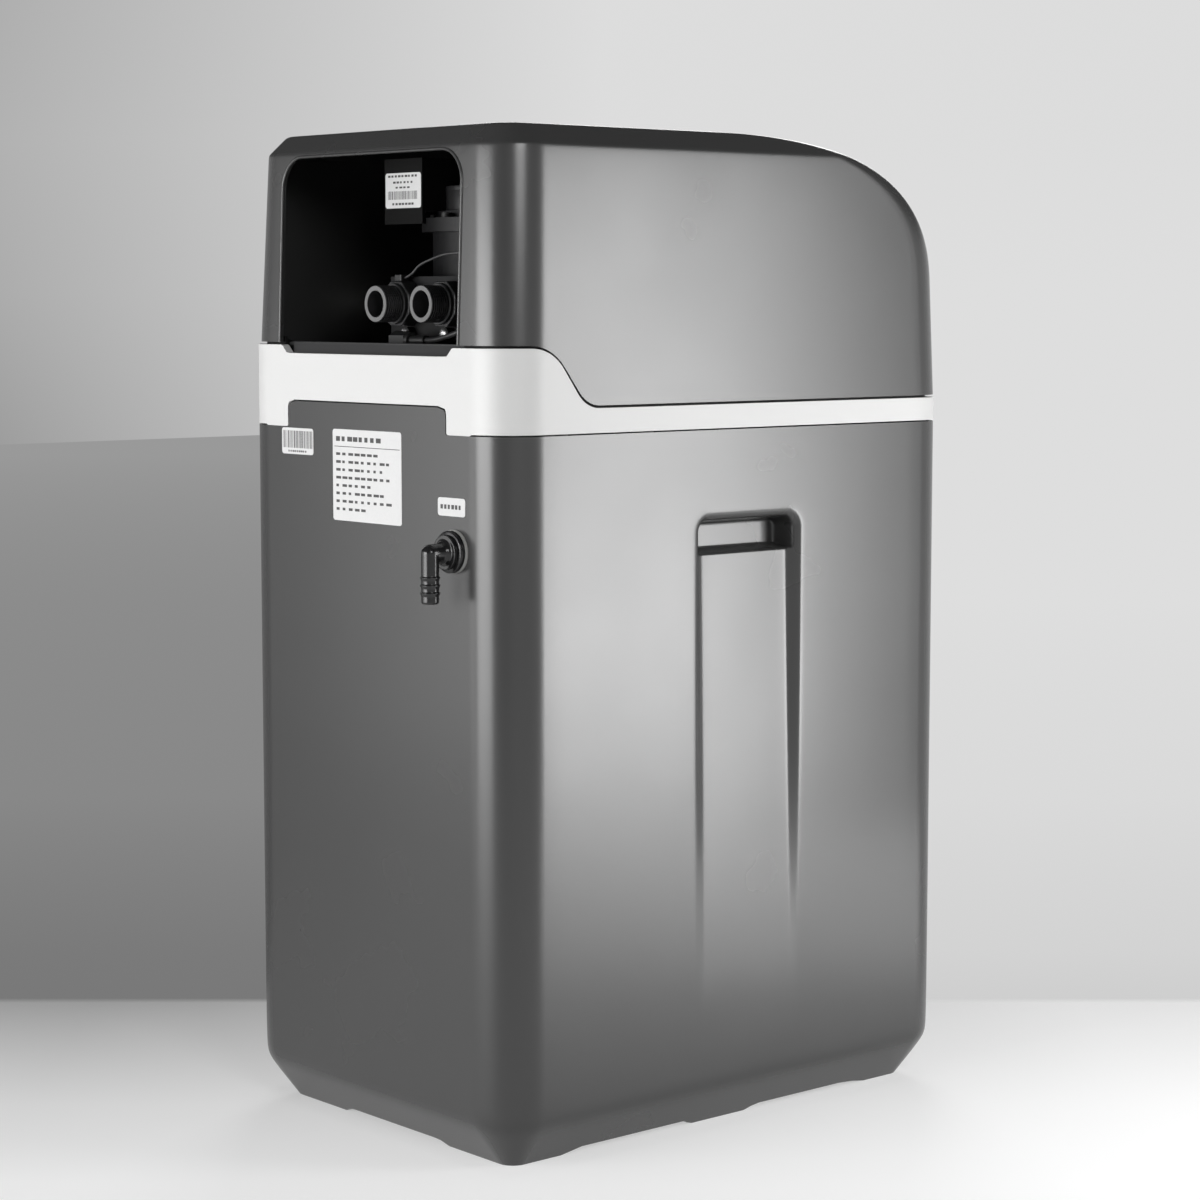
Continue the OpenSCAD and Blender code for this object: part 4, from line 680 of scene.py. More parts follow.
def build_collar():
    """White band with the stepped parting line, the sill and the notch for the tongue."""
    s = bpy.context.scene.softener_shell
    count = sum(RUNS)
    edge = HALF_WIDTH - s.corner_radius
    low = by_runs(tongue_path(s.tongue_gap))
    high_z = COLLAR_HIGH.z
    sill_z = high_z - s.sill_drop
    foot = s.sill_half - s.sill_drop
    sill_round = 0.004
    corners = [(edge, high_z), (s.sill_half, high_z), (foot, sill_z), (-foot, sill_z), (-s.sill_half, high_z),
               (-edge, high_z)]
    high = by_runs(rounded_path(corners, [sill_round] * 4))
    ends = [FRONT + s.corner_radius, REAR - s.step_foot - 0.01, REAR - s.corner_radius]
    columns = plan_columns(rear_runs(), run_steps(ends, (40, 40))[::-1], 24)
    rows = []
    for t in [0.0, 0.06, 0.2, 0.4, 0.6, 0.8, 0.94, 1.0]:
        row = []
        for i, (x, y, *_) in enumerate(columns):
            foot_point = low[i] if i <= count else Vector((x, s.seam_height + s.tongue_gap))
            head_point = high[i] if i <= count else Vector((x, step_height(y)))
            spot = foot_point.lerp(head_point, t)
            row.append(Vector((spot.x, y, spot.y)))
        rows.append(row)
    return thicken(sheet("collar", rows, closed=True), s.collar_wall, s.edge_round)


# Hood and lid

def hood_inset(z):
    """Draw-in of the hood's walls at a height: draft, bevel and rounded top."""
    s = bpy.context.scene.softener_shell
    low = s.seam_height + s.collar_low
    bevel_z = TOP - s.bevel_height
    slope = s.bevel_width / s.bevel_height
    draft = s.hood_draft * max(0.0, min(z, bevel_z) - low) / (bevel_z - low)
    bevel = slope * soft_hinge(z - bevel_z, s.bevel_round)
    tilt = math.atan2(1.0, slope)
    start = TOP - s.top_round * (1.0 - math.cos(tilt))
    if z > start:
        end = s.bevel_width + s.top_round * math.tan(tilt / 2)
        bevel = end - math.sqrt(max(0.0, s.top_round ** 2 - (z - TOP + s.top_round) ** 2))
    return draft, bevel


NOSE_LEAN = 0.002


def nose_front(z):
    """Depth of the hood's front at a height."""
    s = bpy.context.scene.softener_shell
    nose_z = TOP - s.nose_height
    nose_y = REAR - s.top_flat
    reach = nose_y - FRONT - NOSE_LEAN
    if z <= nose_z:
        return nose_y - reach - NOSE_LEAN * (nose_z - z) / (nose_z - s.seam_height)
    share = max(0.0, 1.0 - ((z - nose_z) / s.nose_height) ** s.nose_power)
    return nose_y - reach * share ** (1.0 / s.nose_power)


def nose_level(y):
    """Height of the nose curve at a depth."""
    s = bpy.context.scene.softener_shell
    nose_y = REAR - s.top_flat
    reach = nose_y - FRONT - NOSE_LEAN
    share = max(0.0, (nose_y - y) / reach)
    return TOP - s.nose_height + s.nose_height * (1.0 - share ** s.nose_power) ** (1.0 / s.nose_power)


class HoodSlice:
    """Outline of the hood at one height, on its +X side."""

    def __init__(self, z):
        s = bpy.context.scene.softener_shell
        draft, bevel = hood_inset(z)
        self.z = z
        self.radius = s.corner_radius - bevel
        self.half = HALF_WIDTH - draft - bevel
        self.rear = REAR - draft - bevel
        self.front = nose_front(z)
        self.flat = self.half - self.radius

    def corner(self, turn, rear):
        """Point on a rounded corner; a turn of 0 faces the side."""
        out = self.radius * math.sin(turn)
        y = self.rear - self.radius + out if rear else self.front + self.radius - out
        return Vector((self.flat + self.radius * math.cos(turn), y, self.z))

    def side(self, share):
        """Point on the side wall; a share of 0 is at the rear."""
        return Vector((self.half, lerp(self.rear - self.radius, self.front + self.radius, share), self.z))

    def ahead(self, x):
        """Point on the front wall, rounded corner included."""
        past = max(0.0, x - self.flat)
        return Vector((x, self.front + self.radius - math.sqrt(self.radius ** 2 - past ** 2), self.z))

    def behind(self, x):
        """Point on the rear wall."""
        return Vector((x, self.rear, self.z))

    def flank(self, seam_x, shares, parts):
        """Points from the rear corner round the side to the seam of the lid."""
        turns = [math.pi / 2 * (1.0 - i / parts) for i in range(parts)]
        points = [self.corner(turn, True) for turn in turns]
        points.extend(self.side(share) for share in shares)
        last = math.acos(max(-1.0, min(1.0, (seam_x - self.flat) / self.radius)))
        points.extend(self.corner(last * i / parts, False) for i in range(1, parts + 1))
        return points


def hood_levels():
    """Heights of the hood's slices above the step, lowest first."""
    s = bpy.context.scene.softener_shell
    nose_z = TOP - s.nose_height
    power = 2.0 / s.nose_power
    levels = steps(step_height(REAR) + 0.008, nose_z, 6)
    levels += [nose_z + s.nose_height * math.sin(math.pi / 2 * i / 40) ** power for i in range(1, 40)]
    bevel_z = TOP - s.bevel_height
    levels += steps(bevel_z - 0.003, bevel_z + 0.003, 14)
    levels += [TOP - s.top_round * (1.0 - math.cos(math.radians(4.6 * i))) for i in range(1, 11)]
    levels += [TOP]
    return sorted(levels)


def levels_between(low, high):
    """Heights of the hood's slices between two heights, clear of both."""
    return [z for z in hood_levels() if low + 0.001 < z < high - 1e-5]


def bay_edge(shares_up, shares_over):
    """Points on the +X half of the rear opening's edge: up its side, then over to the middle."""
    s = bpy.context.scene.softener_shell
    low = step_height(REAR, s.part_gap)
    top = TOP - s.bay_drop
    path = rounded_path([(s.bay_half, low), (s.bay_half, top), (0.0, top)], [s.bay_round], 24)
    upright = top - s.bay_round - low
    bend = s.bay_round * math.pi / 4
    over = s.bay_half - s.bay_round
    turn = 0.7
    past = 1.0 - turn
    distances = [upright * u / turn if u < turn else upright + bend * (u - turn) / past for u in shares_up]
    for v in shares_over:
        distances.append(upright + bend + (bend * v / past if v < past else bend + over * (v - past) / turn))
    whole = upright + 2 * bend + over
    return [HoodSlice(spot.y).behind(spot.x) for spot in along_path(path, [d / whole for d in distances])]


def build_hood():
    """Hood with bevelled top, curved nose, rear opening, lid opening and hinge slot."""
    s = bpy.context.scene.softener_shell
    seam_x = s.lid_half + s.lid_gap
    lid_low = s.seam_height + s.lid_rise - s.lid_gap
    lid_top = nose_level(REAR - s.lid_rear + s.lid_gap)
    slot_top = nose_level(REAR - s.slot_rear)
    bevel_clear = 0.0018
    planar = TOP - s.bevel_height - bevel_clear
    marks = sorted([*hood_levels(), lid_top, slot_top, planar])
    levels = [z for i, z in enumerate(marks) if i == 0 or z - marks[i - 1] > 2e-6]
    near_step = 0.36
    shares = run_steps([0.0, near_step, 1.0], (36, 36))
    parts = 20
    low_parts = 8

    def low_slice(point_at):
        z = s.seam_height + s.collar_low
        for _ in range(6):
            z = step_height(point_at(HoodSlice(z)).y, s.part_gap)
        return z

    slices = [HoodSlice(z) for z in levels]
    first = slices[0]
    width = len(first.flank(seam_x, shares, parts))
    flank_low = [low_slice(lambda cut, k=k: cut.flank(seam_x, shares, parts)[k]) for k in range(width)]
    skin = Skin()
    rows = []
    for t in steps(0.0, 1.0, low_parts)[:-1]:
        rows.append([HoodSlice(lerp(z, levels[0], t)).flank(seam_x, shares, parts)[k]
                     for k, z in enumerate(flank_low)])
    rows.extend(cut.flank(seam_x, shares, parts) for cut in slices)
    skin.both_sides([row[::-1] for row in rows])

    # Fixed strip under the lid, and the top behind the lid
    front_low = step_height(FRONT, s.part_gap)
    across = steps(seam_x, 0.0, 24)
    low_rows = [front_low] + [rows[k][-1].z for k in range(1, low_parts)]
    edge_rows = [z for z in [*low_rows, *levels] if z < lid_low - 1e-6] + [lid_low]
    strip = [[HoodSlice(z).ahead(x) for x in across] for z in edge_rows]
    skin.both_sides([row[::-1] for row in strip])
    beside = steps(seam_x, s.slot_half, 4)
    between = steps(s.slot_half, 0.0, 20)
    behind_lid = [cut for cut in slices if cut.z >= lid_top - 1e-7]
    skin.both_sides([[cut.ahead(x) for x in beside][::-1] for cut in behind_lid])
    behind_slot = [cut for cut in slices if cut.z >= slot_top - 1e-7]
    skin.both_sides([[cut.ahead(x) for x in between][::-1] for cut in behind_slot])

    # Rear wall round the opening
    rear_low = step_height(REAR, s.part_gap)
    side_cuts = [HoodSlice(lerp(flank_low[0], levels[0], t)) for t in steps(0.0, 1.0, low_parts)[:-1]]
    side_cuts += [cut for cut in slices if cut.z <= planar + 1e-7]
    top_cut = side_cuts[-1]
    top_shares = steps(1.0, 0.0, 30)
    outer = [cut.behind(cut.flat) for cut in side_cuts]
    outer += [top_cut.behind(top_cut.flat * share) for share in top_shares[1:]]
    tall = top_cut.z - rear_low
    shares_up = [(cut.z - rear_low) / tall for cut in side_cuts]
    inner = bay_edge(shares_up, [1.0 - share for share in top_shares[1:]])
    frame_rows = [[a.lerp(b, t) for a, b in zip(outer, inner)] for t in [0.0, 0.4, 0.8, 1.0]]
    skin.both_sides(frame_rows[::-1])
    above = [cut for cut in slices if cut.z >= planar - 1e-7]
    skin.both_sides([[cut.behind(cut.flat * share) for share in top_shares][::-1] for cut in above][::-1])

    # Flat top
    last = slices[-1]
    ring = [last.behind(last.flat * share) for share in top_shares[::-1]]
    ring += last.flank(seam_x, shares, parts)[1:]
    ring += [last.ahead(x) for x in [*beside[1:], *between[1:]]]
    skin.plate(ring, flip=True)
    skin.plate(mirrored(ring))
    return thicken(skin.piece("hood"), s.hood_wall, s.edge_round, inner_slot=1)


def build_lid():
    """Salt lid that carries on the hood's front and nose, with its hinge tab and barrel."""
    s = bpy.context.scene.softener_shell
    low = s.seam_height + s.lid_rise
    rear = REAR - s.lid_rear
    high = nose_level(rear)
    across = steps(-s.lid_half, s.lid_half, 48)
    rows = []
    for z in [low, *levels_between(low, high), high]:
        cut = HoodSlice(z)
        rows.append([Vector((x, cut.ahead(abs(x)).y, z)) for x in across])
    shell = thicken(sheet("lid_shell", rows), s.hood_wall, s.edge_round)
    r = s.barrel_radius
    outline = [Vector((y, nose_level(y) - s.edge_round / 2)) for y in steps(rear - r, HINGE.y, 10)]
    outline += [Vector((HINGE.y + r * math.sin(turn), HINGE.z + r * math.cos(turn)))
                for turn in steps(math.radians(10.0), math.radians(240.0), 24)]
    outline.append(Vector((rear - r, nose_level(rear - r) - s.hood_wall)))
    tab = Skin()
    tab.block(outline, Vector(), "X", -s.barrel_half, s.barrel_half)
    return joined("salt_lid_shell", [shell, tab.piece("lid_tab", crease=35.0)])


def build_bay_lip():
    """Bead round the rear opening."""
    s = bpy.context.scene.softener_shell
    half = bay_edge(steps(0.0, 1.0, 40), steps(0.0, 1.0, 30)[1:])
    path = half + mirrored(half[-2::-1])
    return tube("bay_lip", path, s.bay_lip, 10)


def build_sill():
    """Sloping lip between the tray and the sill in the collar."""
    s = bpy.context.scene.softener_shell
    low = COLLAR_HIGH.z - s.sill_drop
    foot = s.sill_half - s.sill_drop
    spots = [(REAR - s.collar_wall, low, foot), (REAR - s.sill_reach, low + s.sill_rise, s.sill_half),
             (REAR - s.sill_reach - s.edge_round, low + s.sill_rise, s.sill_half)]
    rows = [[Vector((x, y, z)) for x in steps(half, -half, 30)] for y, z, half in spots]
    return thicken(sheet("sill_lip", rows), s.edge_round, s.edge_round / 3)


def build_hood_rim():
    """Inner rim that closes the gap between hood and collar."""
    s = bpy.context.scene.softener_shell
    edge = HALF_WIDTH - s.corner_radius
    side_marks = steps(REAR - s.corner_radius, FRONT + s.corner_radius, 70)
    columns = plan_columns(steps(-s.bay_half, -edge, 3), side_marks, 14)
    columns += [(x, REAR, 0.0, 1.0) for x in steps(edge, s.bay_half, 3)]
    rows = []
    for lift in steps(-s.rim_drop, s.rim_rise, 3):
        rows.append([Vector((x - nx * s.rim_inset, y - ny * s.rim_inset, step_height(y) + lift))
                     for x, y, nx, ny in columns])
    return thicken(sheet("hood_rim", rows), s.rim_wall, s.edge_round / 2)


def build_lid_rest():
    """Rest under the lid's edge, and the bosses that hold the hinge pins."""
    s = bpy.context.scene.softener_shell
    low = s.seam_height + s.lid_rise
    high = nose_level(REAR - s.lid_rear)
    bottom = steps(low - s.rest_width, low + s.rest_width, 2)
    levels = bottom + levels_between(bottom[-1], high)
    depth = s.hood_wall + s.lid_gap / 2
    inner, outer = s.lid_half - s.rest_width, s.lid_half + s.rest_width

    def under(x, z):
        spot = HoodSlice(z).ahead(abs(x))
        rise = Vector((nose_front(z + 0.0005) - nose_front(z - 0.0005), 0.001)).normalized()
        return Vector((x, spot.y + depth * rise.y, z - depth * rise.x))

    skin = Skin()
    skin.both_sides([[under(x, z) for x in steps(inner, outer, 4)] for z in levels])
    skin.grid([[under(x, z) for x in steps(-inner, inner, 24)] for z in bottom])
    rest = thicken(skin.piece("rest"), s.rest_wall, s.edge_round / 2)
    bosses = Skin()
    half = (PIN_HIGH.x - s.barrel_half) / 2
    for sign in (-1.0, 1.0):
        middle = Vector((sign * (s.barrel_half + half + s.lid_gap), HINGE.y, HINGE.z))
        reach = half - s.lid_gap
        radius = s.barrel_radius
        bore = radius / 2
        bosses.turned([(-reach, bore), (-reach, radius), (reach, radius), (reach, bore), (-reach, bore)],
                      middle, "X", 32)
        tall = TOP - s.hood_wall - HINGE.z
        web_wall = 0.003
        web = [Vector((-radius, 0.0)), Vector((radius, 0.0)), Vector((radius, tall)), Vector((-radius, tall))]
        bosses.block(web, middle, "X", -reach, -reach + web_wall)
        bosses.block(web, middle, "X", reach - web_wall, reach)
    return joined("lid_rest", [rest, bosses.piece("bosses", crease=35.0)])


def build_ledge():
    """Ledge inside the collar that carries the tray."""
    s = bpy.context.scene.softener_shell
    edge = HALF_WIDTH - s.corner_radius
    side_marks = steps(REAR - s.corner_radius, FRONT + s.corner_radius, 8)
    columns = plan_columns(steps(edge, -edge, 4), side_marks, 10)
    inner = s.collar_wall + s.ledge_width
    outer = s.collar_wall - s.edge_round
    low, high = s.seam_height + s.lid_gap, s.seam_height + s.ledge_height
    rows = []
    for inset, z in [(inner, low), (outer, low), (outer, high), (inner, high), (inner, low)]:
        rows.append([Vector((x - nx * inset, y - ny * inset, z)) for x, y, nx, ny in columns])
    return sheet("collar_ledge", rows, closed=True, crease=35.0)


# Pieces grown by node trees

def growth(name, **inputs):
    """Geometry tree with named inputs and one geometry output."""
    tree = bpy.data.node_groups.new(name, "GeometryNodeTree")
    for label, kind in inputs.items():
        tree.interface.new_socket(label, in_out="INPUT", socket_type="NodeSocket" + kind)
    tree.interface.new_socket("Geometry", in_out="OUTPUT", socket_type="NodeSocketGeometry")
    return tree, tree.nodes.new("NodeGroupInput").outputs, tree.nodes.new("NodeGroupOutput").inputs


def add_node(tree, kind, settings=None, **feeds):
    """Node with settings, fed by sockets or values; an underscore stands for a space in a socket's name."""
    node = tree.nodes.new(kind)
    for key, value in (settings or {}).items():
        setattr(node, key, value)
    for key, value in feeds.items():
        name = key.replace("_", " ")
        socket = [item for item in node.inputs if item.enabled and item.name == name][0]
        if isinstance(value, bpy.types.NodeSocket):
            tree.links.new(value, socket)
        else:
            socket.default_value = value
    return node


def close_tree(tree, instances, finish, outward):
    """Ends a tree: real geometry with its finish."""
    real = add_node(tree, "GeometryNodeRealizeInstances", Geometry=instances)
    painted = add_node(tree, "GeometryNodeSetMaterial", Geometry=real.outputs[0], Material=finish)
    tree.links.new(painted.outputs[0], outward[0])


def grown(name, tree, **values):
    """Runs a tree with the given inputs and keeps the result as a plain mesh."""
    piece = put(name, bpy.data.meshes.new(name))
    step = piece.modifiers.new("Grown", "NODES")
    step.node_group = tree
    for socket in tree.interface.items_tree:
        if socket.in_out == "INPUT":
            step[socket.identifier] = values[socket.name.lower()]
    return settle(piece)


def thread_tree():
    """Rounded thread ridge, wound once and set on each port."""
    tree, sizes, outward = growth("Port thread", Radius="Float", Ridge="Float", Turns="Float", Height="Float",
                                  Start="Vector", Offset="Vector", Finish="Material")
    coil = add_node(tree, "GeometryNodeCurveSpiral", Resolution=56, Rotations=sizes["Turns"], Reverse=True,
                    Start_Radius=sizes["Radius"], End_Radius=sizes["Radius"], Height=sizes["Height"])
    profile = add_node(tree, "GeometryNodeCurvePrimitiveCircle", Resolution=8, Radius=sizes["Ridge"])
    ridge = add_node(tree, "GeometryNodeCurveToMesh", Curve=coil.outputs[0], Profile_Curve=profile.outputs[0],
                     Fill_Caps=True)
    laid = add_node(tree, "GeometryNodeTransform", Geometry=ridge.outputs[0],
                    Rotation=(-math.pi / 2, 0.0, 0.0))
    spots = add_node(tree, "GeometryNodeMeshLine", Count=2, Start_Location=sizes["Start"],
                     Offset=sizes["Offset"])
    copies = add_node(tree, "GeometryNodeInstanceOnPoints", Points=spots.outputs[0], Instance=laid.outputs[0])
    close_tree(tree, copies.outputs[0], sizes["Finish"], outward)
    return tree


def bars_tree():
    """Row of printed bars of uneven length that run towards -X."""
    tree, sizes, outward = growth("Row of bars", Count="Int", Start="Vector", Offset="Vector", Bar="Vector",
                                  Shortest="Float", Seed="Int", Finish="Material")
    bar = add_node(tree, "GeometryNodeMeshCube", Size=sizes["Bar"])
    half = add_node(tree, "ShaderNodeVectorMath", {"operation": "MULTIPLY"})
    tree.links.new(sizes["Bar"], half.inputs[0])
    half.inputs[1].default_value = (-0.5, 0.5, 0.5)
    based = add_node(tree, "GeometryNodeTransform", Geometry=bar.outputs[0], Translation=half.outputs[0])
    spots = add_node(tree, "GeometryNodeMeshLine", Count=sizes["Count"], Start_Location=sizes["Start"],
                     Offset=sizes["Offset"])
    drawn = add_node(tree, "FunctionNodeRandomValue", {"data_type": "FLOAT"}, Min=sizes["Shortest"], Max=1.0,
                     Seed=sizes["Seed"])
    share = [item for item in drawn.outputs if item.enabled][0]
    stretch = add_node(tree, "ShaderNodeCombineXYZ", X=share, Y=1.0, Z=1.0)
    copies = add_node(tree, "GeometryNodeInstanceOnPoints", Points=spots.outputs[0],
                      Instance=based.outputs[0], Scale=stretch.outputs[0])
    close_tree(tree, copies.outputs[0], sizes["Finish"], outward)
    return tree


def screws_tree():
    """Domed screw heads with a driving recess, spread along a line."""
    tree, sizes, outward = growth("Screw heads", Count="Int", Start="Vector", Offset="Vector", Radius="Float",
                                  Height="Float", Turn="Vector", Finish="Material")
    dome = add_node(tree, "GeometryNodeMeshUVSphere", Segments=32, Rings=16, Radius=sizes["Radius"])
    flat = math_node(tree, "DIVIDE", sizes["Height"], sizes["Radius"])
    squat = add_node(tree, "ShaderNodeCombineXYZ", X=1.0, Y=1.0, Z=flat)
    shape = add_node(tree, "GeometryNodeTransform", Geometry=dome.outputs[0],
                     Scale=squat.outputs[0]).outputs[0]
    wide = math_node(tree, "MULTIPLY", sizes["Radius"], 1.2)
    thin = math_node(tree, "MULTIPLY", sizes["Radius"], 0.22)
    lift = add_node(tree, "ShaderNodeCombineXYZ", X=0.0, Y=0.0, Z=sizes["Height"])
    for x, y in ((wide, thin), (thin, wide)):
        size = add_node(tree, "ShaderNodeCombineXYZ", X=x, Y=y, Z=sizes["Height"])
        blade = add_node(tree, "GeometryNodeMeshCube", Size=size.outputs[0])
        raised = add_node(tree, "GeometryNodeTransform", Geometry=blade.outputs[0],
                          Translation=lift.outputs[0])
        cut = tree.nodes.new("GeometryNodeMeshBoolean")
        cut.operation = "DIFFERENCE"
        tree.links.new(shape, cut.inputs[0])
        tree.links.new(raised.outputs[0], cut.inputs[1])
        shape = cut.outputs[0]
    spots = add_node(tree, "GeometryNodeMeshLine", Count=sizes["Count"], Start_Location=sizes["Start"],
                     Offset=sizes["Offset"])
    facing = add_node(tree, "FunctionNodeEulerToRotation", Euler=sizes["Turn"])
    copies = add_node(tree, "GeometryNodeInstanceOnPoints", Points=spots.outputs[0], Instance=shape,
                      Rotation=facing.outputs[0])
    close_tree(tree, copies.outputs[0], sizes["Finish"], outward)
    return tree


# Pipe ports

def port_end(node):
    """Middle of a port's open end."""
    low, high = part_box(node)
    return Vector(((low.x + high.x) / 2, high.y, (low.z + high.z) / 2))


def build_port(name, node):
    """Threaded port with a round shoulder, an eight-sided collar and its spigot."""
    p = bpy.context.scene.softener_port
    end = port_end(node)
    core = p.thread_radius - p.ridge_radius
    shoulder = -p.thread_length
    collar = shoulder - p.collar_length
    inner = collar - p.spigot_length
    step = 0.0005
    profile = [
        (inner, p.bore), (inner, p.spigot_radius - step), (inner + step, p.spigot_radius),
        (collar + step, p.spigot_radius), (collar + step, p.shoulder), (shoulder + 5 * step, p.shoulder),
        (shoulder + 6 * step, p.shoulder - step), (shoulder + 6 * step, core), (-3 * step, core),
        (-2 * step, p.thread_radius), (-step, p.thread_radius), (0.0, p.thread_radius - step),
        (0.0, p.bore + step / 2), (-step / 2, p.bore), (inner, p.bore)]
    part = math.pi / 8
    across = p.collar_half / math.cos(part)
    corners = [(across * math.cos(part * k), across * math.sin(part * k)) for k in range(1, 16, 2)]
    nut = Skin()
    nut.block(rounded_ring(corners, p.collar_round), end, "Y", collar, shoulder)
    collar_piece = nut.piece("port_collar")
    add_rounding(collar_piece, 2 * step, 35.0)
    piece = joined(name, [lathe("port_body", profile, end, crease=30.0), settle(collar_piece)])
    # Faces at the open end that look along +Y take the lighter port face finish, which is painted light
    for face in piece.data.polygons:
        face.material_index = int(face.normal.y > 0.9 and face.center.y > end.y - step)
    return piece


def build_turbine_webs():
    """Two crosses in the outlet that carry the turbine's axle."""
    p = bpy.context.scene.softener_port
    end = port_end("outlet_adapter")
    hub, axle, bar = 0.0026, 0.00125, 0.0007
    skin = Skin()
    for low in (TURBINE_LOW.y - end.y, TURBINE_HIGH.y - p.web - end.y):
        high = low + p.web
        skin.turned([(low, axle), (low, hub), (high, hub), (high, axle), (low, axle)], end, "Y", 24)
        for u, v in ((1, 0), (0, 1), (-1, 0), (0, -1)):
            along, side = Vector((u, v)), Vector((-v, u)) * bar
            ring = [along * hub - side, along * p.bore - side, along * p.bore + side, along * hub + side]
            skin.block(ring, end, "Y", low, high)
    return skin.piece("turbine_webs", crease=30.0)


def build_threads(finish):
    """Thread ridges on both ports."""
    p = bpy.context.scene.softener_port
    first, second = port_end("inlet_adapter"), port_end("outlet_adapter")
    tip, root = 0.0016, 0.0032
    run = p.thread_length - (tip + root)
    return grown("port_threads", thread_tree(), radius=p.thread_radius - p.ridge_radius, ridge=p.ridge_radius,
                 turns=run / p.pitch, height=run, start=first - Vector((0.0, run + tip, 0.0)),
                 offset=second - first, finish=finish)


def build_port_screws(finish):
    """Domed heads of the screws under the ports."""
    p = bpy.context.scene.softener_port
    x = SCREW_HIGH.x - p.screw_head
    start = Vector((x, SCREW_HIGH.y - p.screw_rise, (SCREW_LOW.z + SCREW_HIGH.z) / 2))
    return grown("port_screw_heads", screws_tree(), count=2, start=start, offset=(-2 * x, 0.0, 0.0),
                 radius=p.screw_head, height=p.screw_rise, turn=(-math.pi / 2, 0.0, 0.0), finish=finish)


# Overflow

def build_gasket():
    """Soft ring between wall and grommet."""
    o = bpy.context.scene.softener_overflow
    round_off = o.gasket / 4
    profile = [(0.0, o.neck), (0.0, o.gasket_radius), (o.gasket - round_off, o.gasket_radius),
               (o.gasket, o.gasket_radius - round_off), (o.gasket, o.neck), (0.0, o.neck)]
    return lathe("overflow_gasket_ring", profile, OVERFLOW, crease=50.0)


def build_grommet():
    """Flanged bush that carries the elbow."""
    o = bpy.context.scene.softener_overflow
    low, high = o.gasket, o.gasket + o.flange
    bore = o.tube + o.play
    round_off = o.flange / 5
    profile = [(-o.depth, bore), (-o.depth, o.neck), (low, o.neck), (low, o.flange_radius - round_off / 2),
               (low + round_off / 2, o.flange_radius), (high - round_off, o.flange_radius),
               (high - round_off / 3, o.flange_radius - round_off / 3), (high, o.flange_radius - round_off),
               (high, bore), (-o.depth, bore)]
    return lathe("overflow_bush", profile, OVERFLOW, crease=40.0)


def build_elbow():
    """Overflow elbow with its flange, flared stem, domed bend and three hose barbs, in one skin."""
    o = bpy.context.scene.softener_overflow
    face = o.gasket + o.flange + o.play
    stem = Skin()
    flare = face + o.ring
    stem.turned([(-o.depth, 0.0), (-o.depth, o.tube), (face, o.tube), (face, o.ring_radius),
                 (flare, o.ring_radius), (flare, o.tube + 0.0030), (flare + 0.0012, o.tube + 0.0014),
                 (flare + 0.0035, o.tube + 0.0004), (o.reach - 0.003, o.tube), (o.reach, o.tube),
                 (o.reach, 0.0)], OVERFLOW, "Y", 72)
    leg = [(-o.tube * math.cos(turn), o.tube * math.sin(turn)) for turn in steps(0.0, math.pi / 2, 12)]
    for k in (2, 1, 0):
        start = o.drop - o.barb_end - k * o.barb_pitch - o.barb_length
        leg += [(start, o.tube), (start + 0.0002, o.barb), (start + 0.0006, o.barb),
                (start + o.barb_length, o.tube)]
    leg += [(o.drop - 0.0012, o.tube), (o.drop, o.tube - 0.0010), (o.drop, o.bore), (o.drop - 0.020, o.bore),
            (o.drop - 0.020, 0.0)]
    bend = Skin()
    bend.turned(leg, OVERFLOW + Vector((0.0, o.reach, 0.0)), "down", 72)
    piece = joined("overflow_elbow_skin", [stem.piece("elbow_stem"), bend.piece("elbow_leg")])
    merge = piece.modifiers.new("One skin", "REMESH")
    merge.mode = "VOXEL"
    merge.voxel_size = 0.0003
    merge.use_smooth_shade = True
    soften = piece.modifiers.new("Soften", "SMOOTH")
    soften.factor = 0.5
    soften.iterations = 6
    return settle(piece)


# Leads and brine line

def smooth_route(points, parts):
    """Points on one smooth curve through a lead's route."""
    knots = [points[0], *points, points[-1]]
    route = []
    for a, b, c, d in zip(knots, knots[1:], knots[2:], knots[3:]):
        for i in range(parts):
            t = i / parts
            route.append(0.5 * (2 * b + (c - a) * t + (2 * a - 5 * b + 4 * c - d) * t ** 2
                                + (3 * b - a - 3 * c + d) * t ** 3))
    return route + [points[-1]]


def build_lead(name, millimetres, radius, sides):
    """Round lead along a route given in the cabinet's own millimetres."""
    shift = Vector((0.0, (REAR + FRONT) / 2, 0.0))
    return tube(name, smooth_route([Vector(spot) / 1000 + shift for spot in millimetres], 8), radius, sides)


POWER_ROUTE = [(-20, 180, 570), (-34, 180, 571), (-58, 176, 578), (-76, 160, 594), (-86, 128, 616),
               (-86, 84, 640), (-78, 44, 652), (-63, 20, 655), (-60, 2, 655)]
METER_ROUTE = [(22.6, 166, 614), (16, 165, 617), (8, 164, 623), (-4, 163, 627), (-19, 162, 630.5),
               (-38, 158, 632), (-62, 146, 636), (-78, 112, 646), (-70, 48, 658), (-49, 18, 660),
               (-46, 2, 660)]
BRINE_ROUTE = [(78, 65, 591.5), (90, 62, 592), (104, 40, 594), (108, 0, 600), (108, -50, 592),
               (106, -96, 560), (96, -130, 528), (78, -150, 502), (78, -150, 478)]
# Node, route, radius, number of sides and material slot
LEADS = [
    ("power_lead", POWER_ROUTE, 0.002, 20, "lead_jacket"),
    ("meter_lead", METER_ROUTE, 0.001, 20, "lead_jacket"),
    ("brine_line", BRINE_ROUTE, 0.00475, 28, "pale_plastic"),
]


# Labels

# Left, right, lower and upper edge of each label on the rear wall
LABELS = {
    "barcode": (0.101, 0.062, 0.487, 0.506),
    "rating": (0.038, -0.043, 0.442, 0.507),
    "overflow": (-0.084, -0.114, 0.452, 0.4645),
}


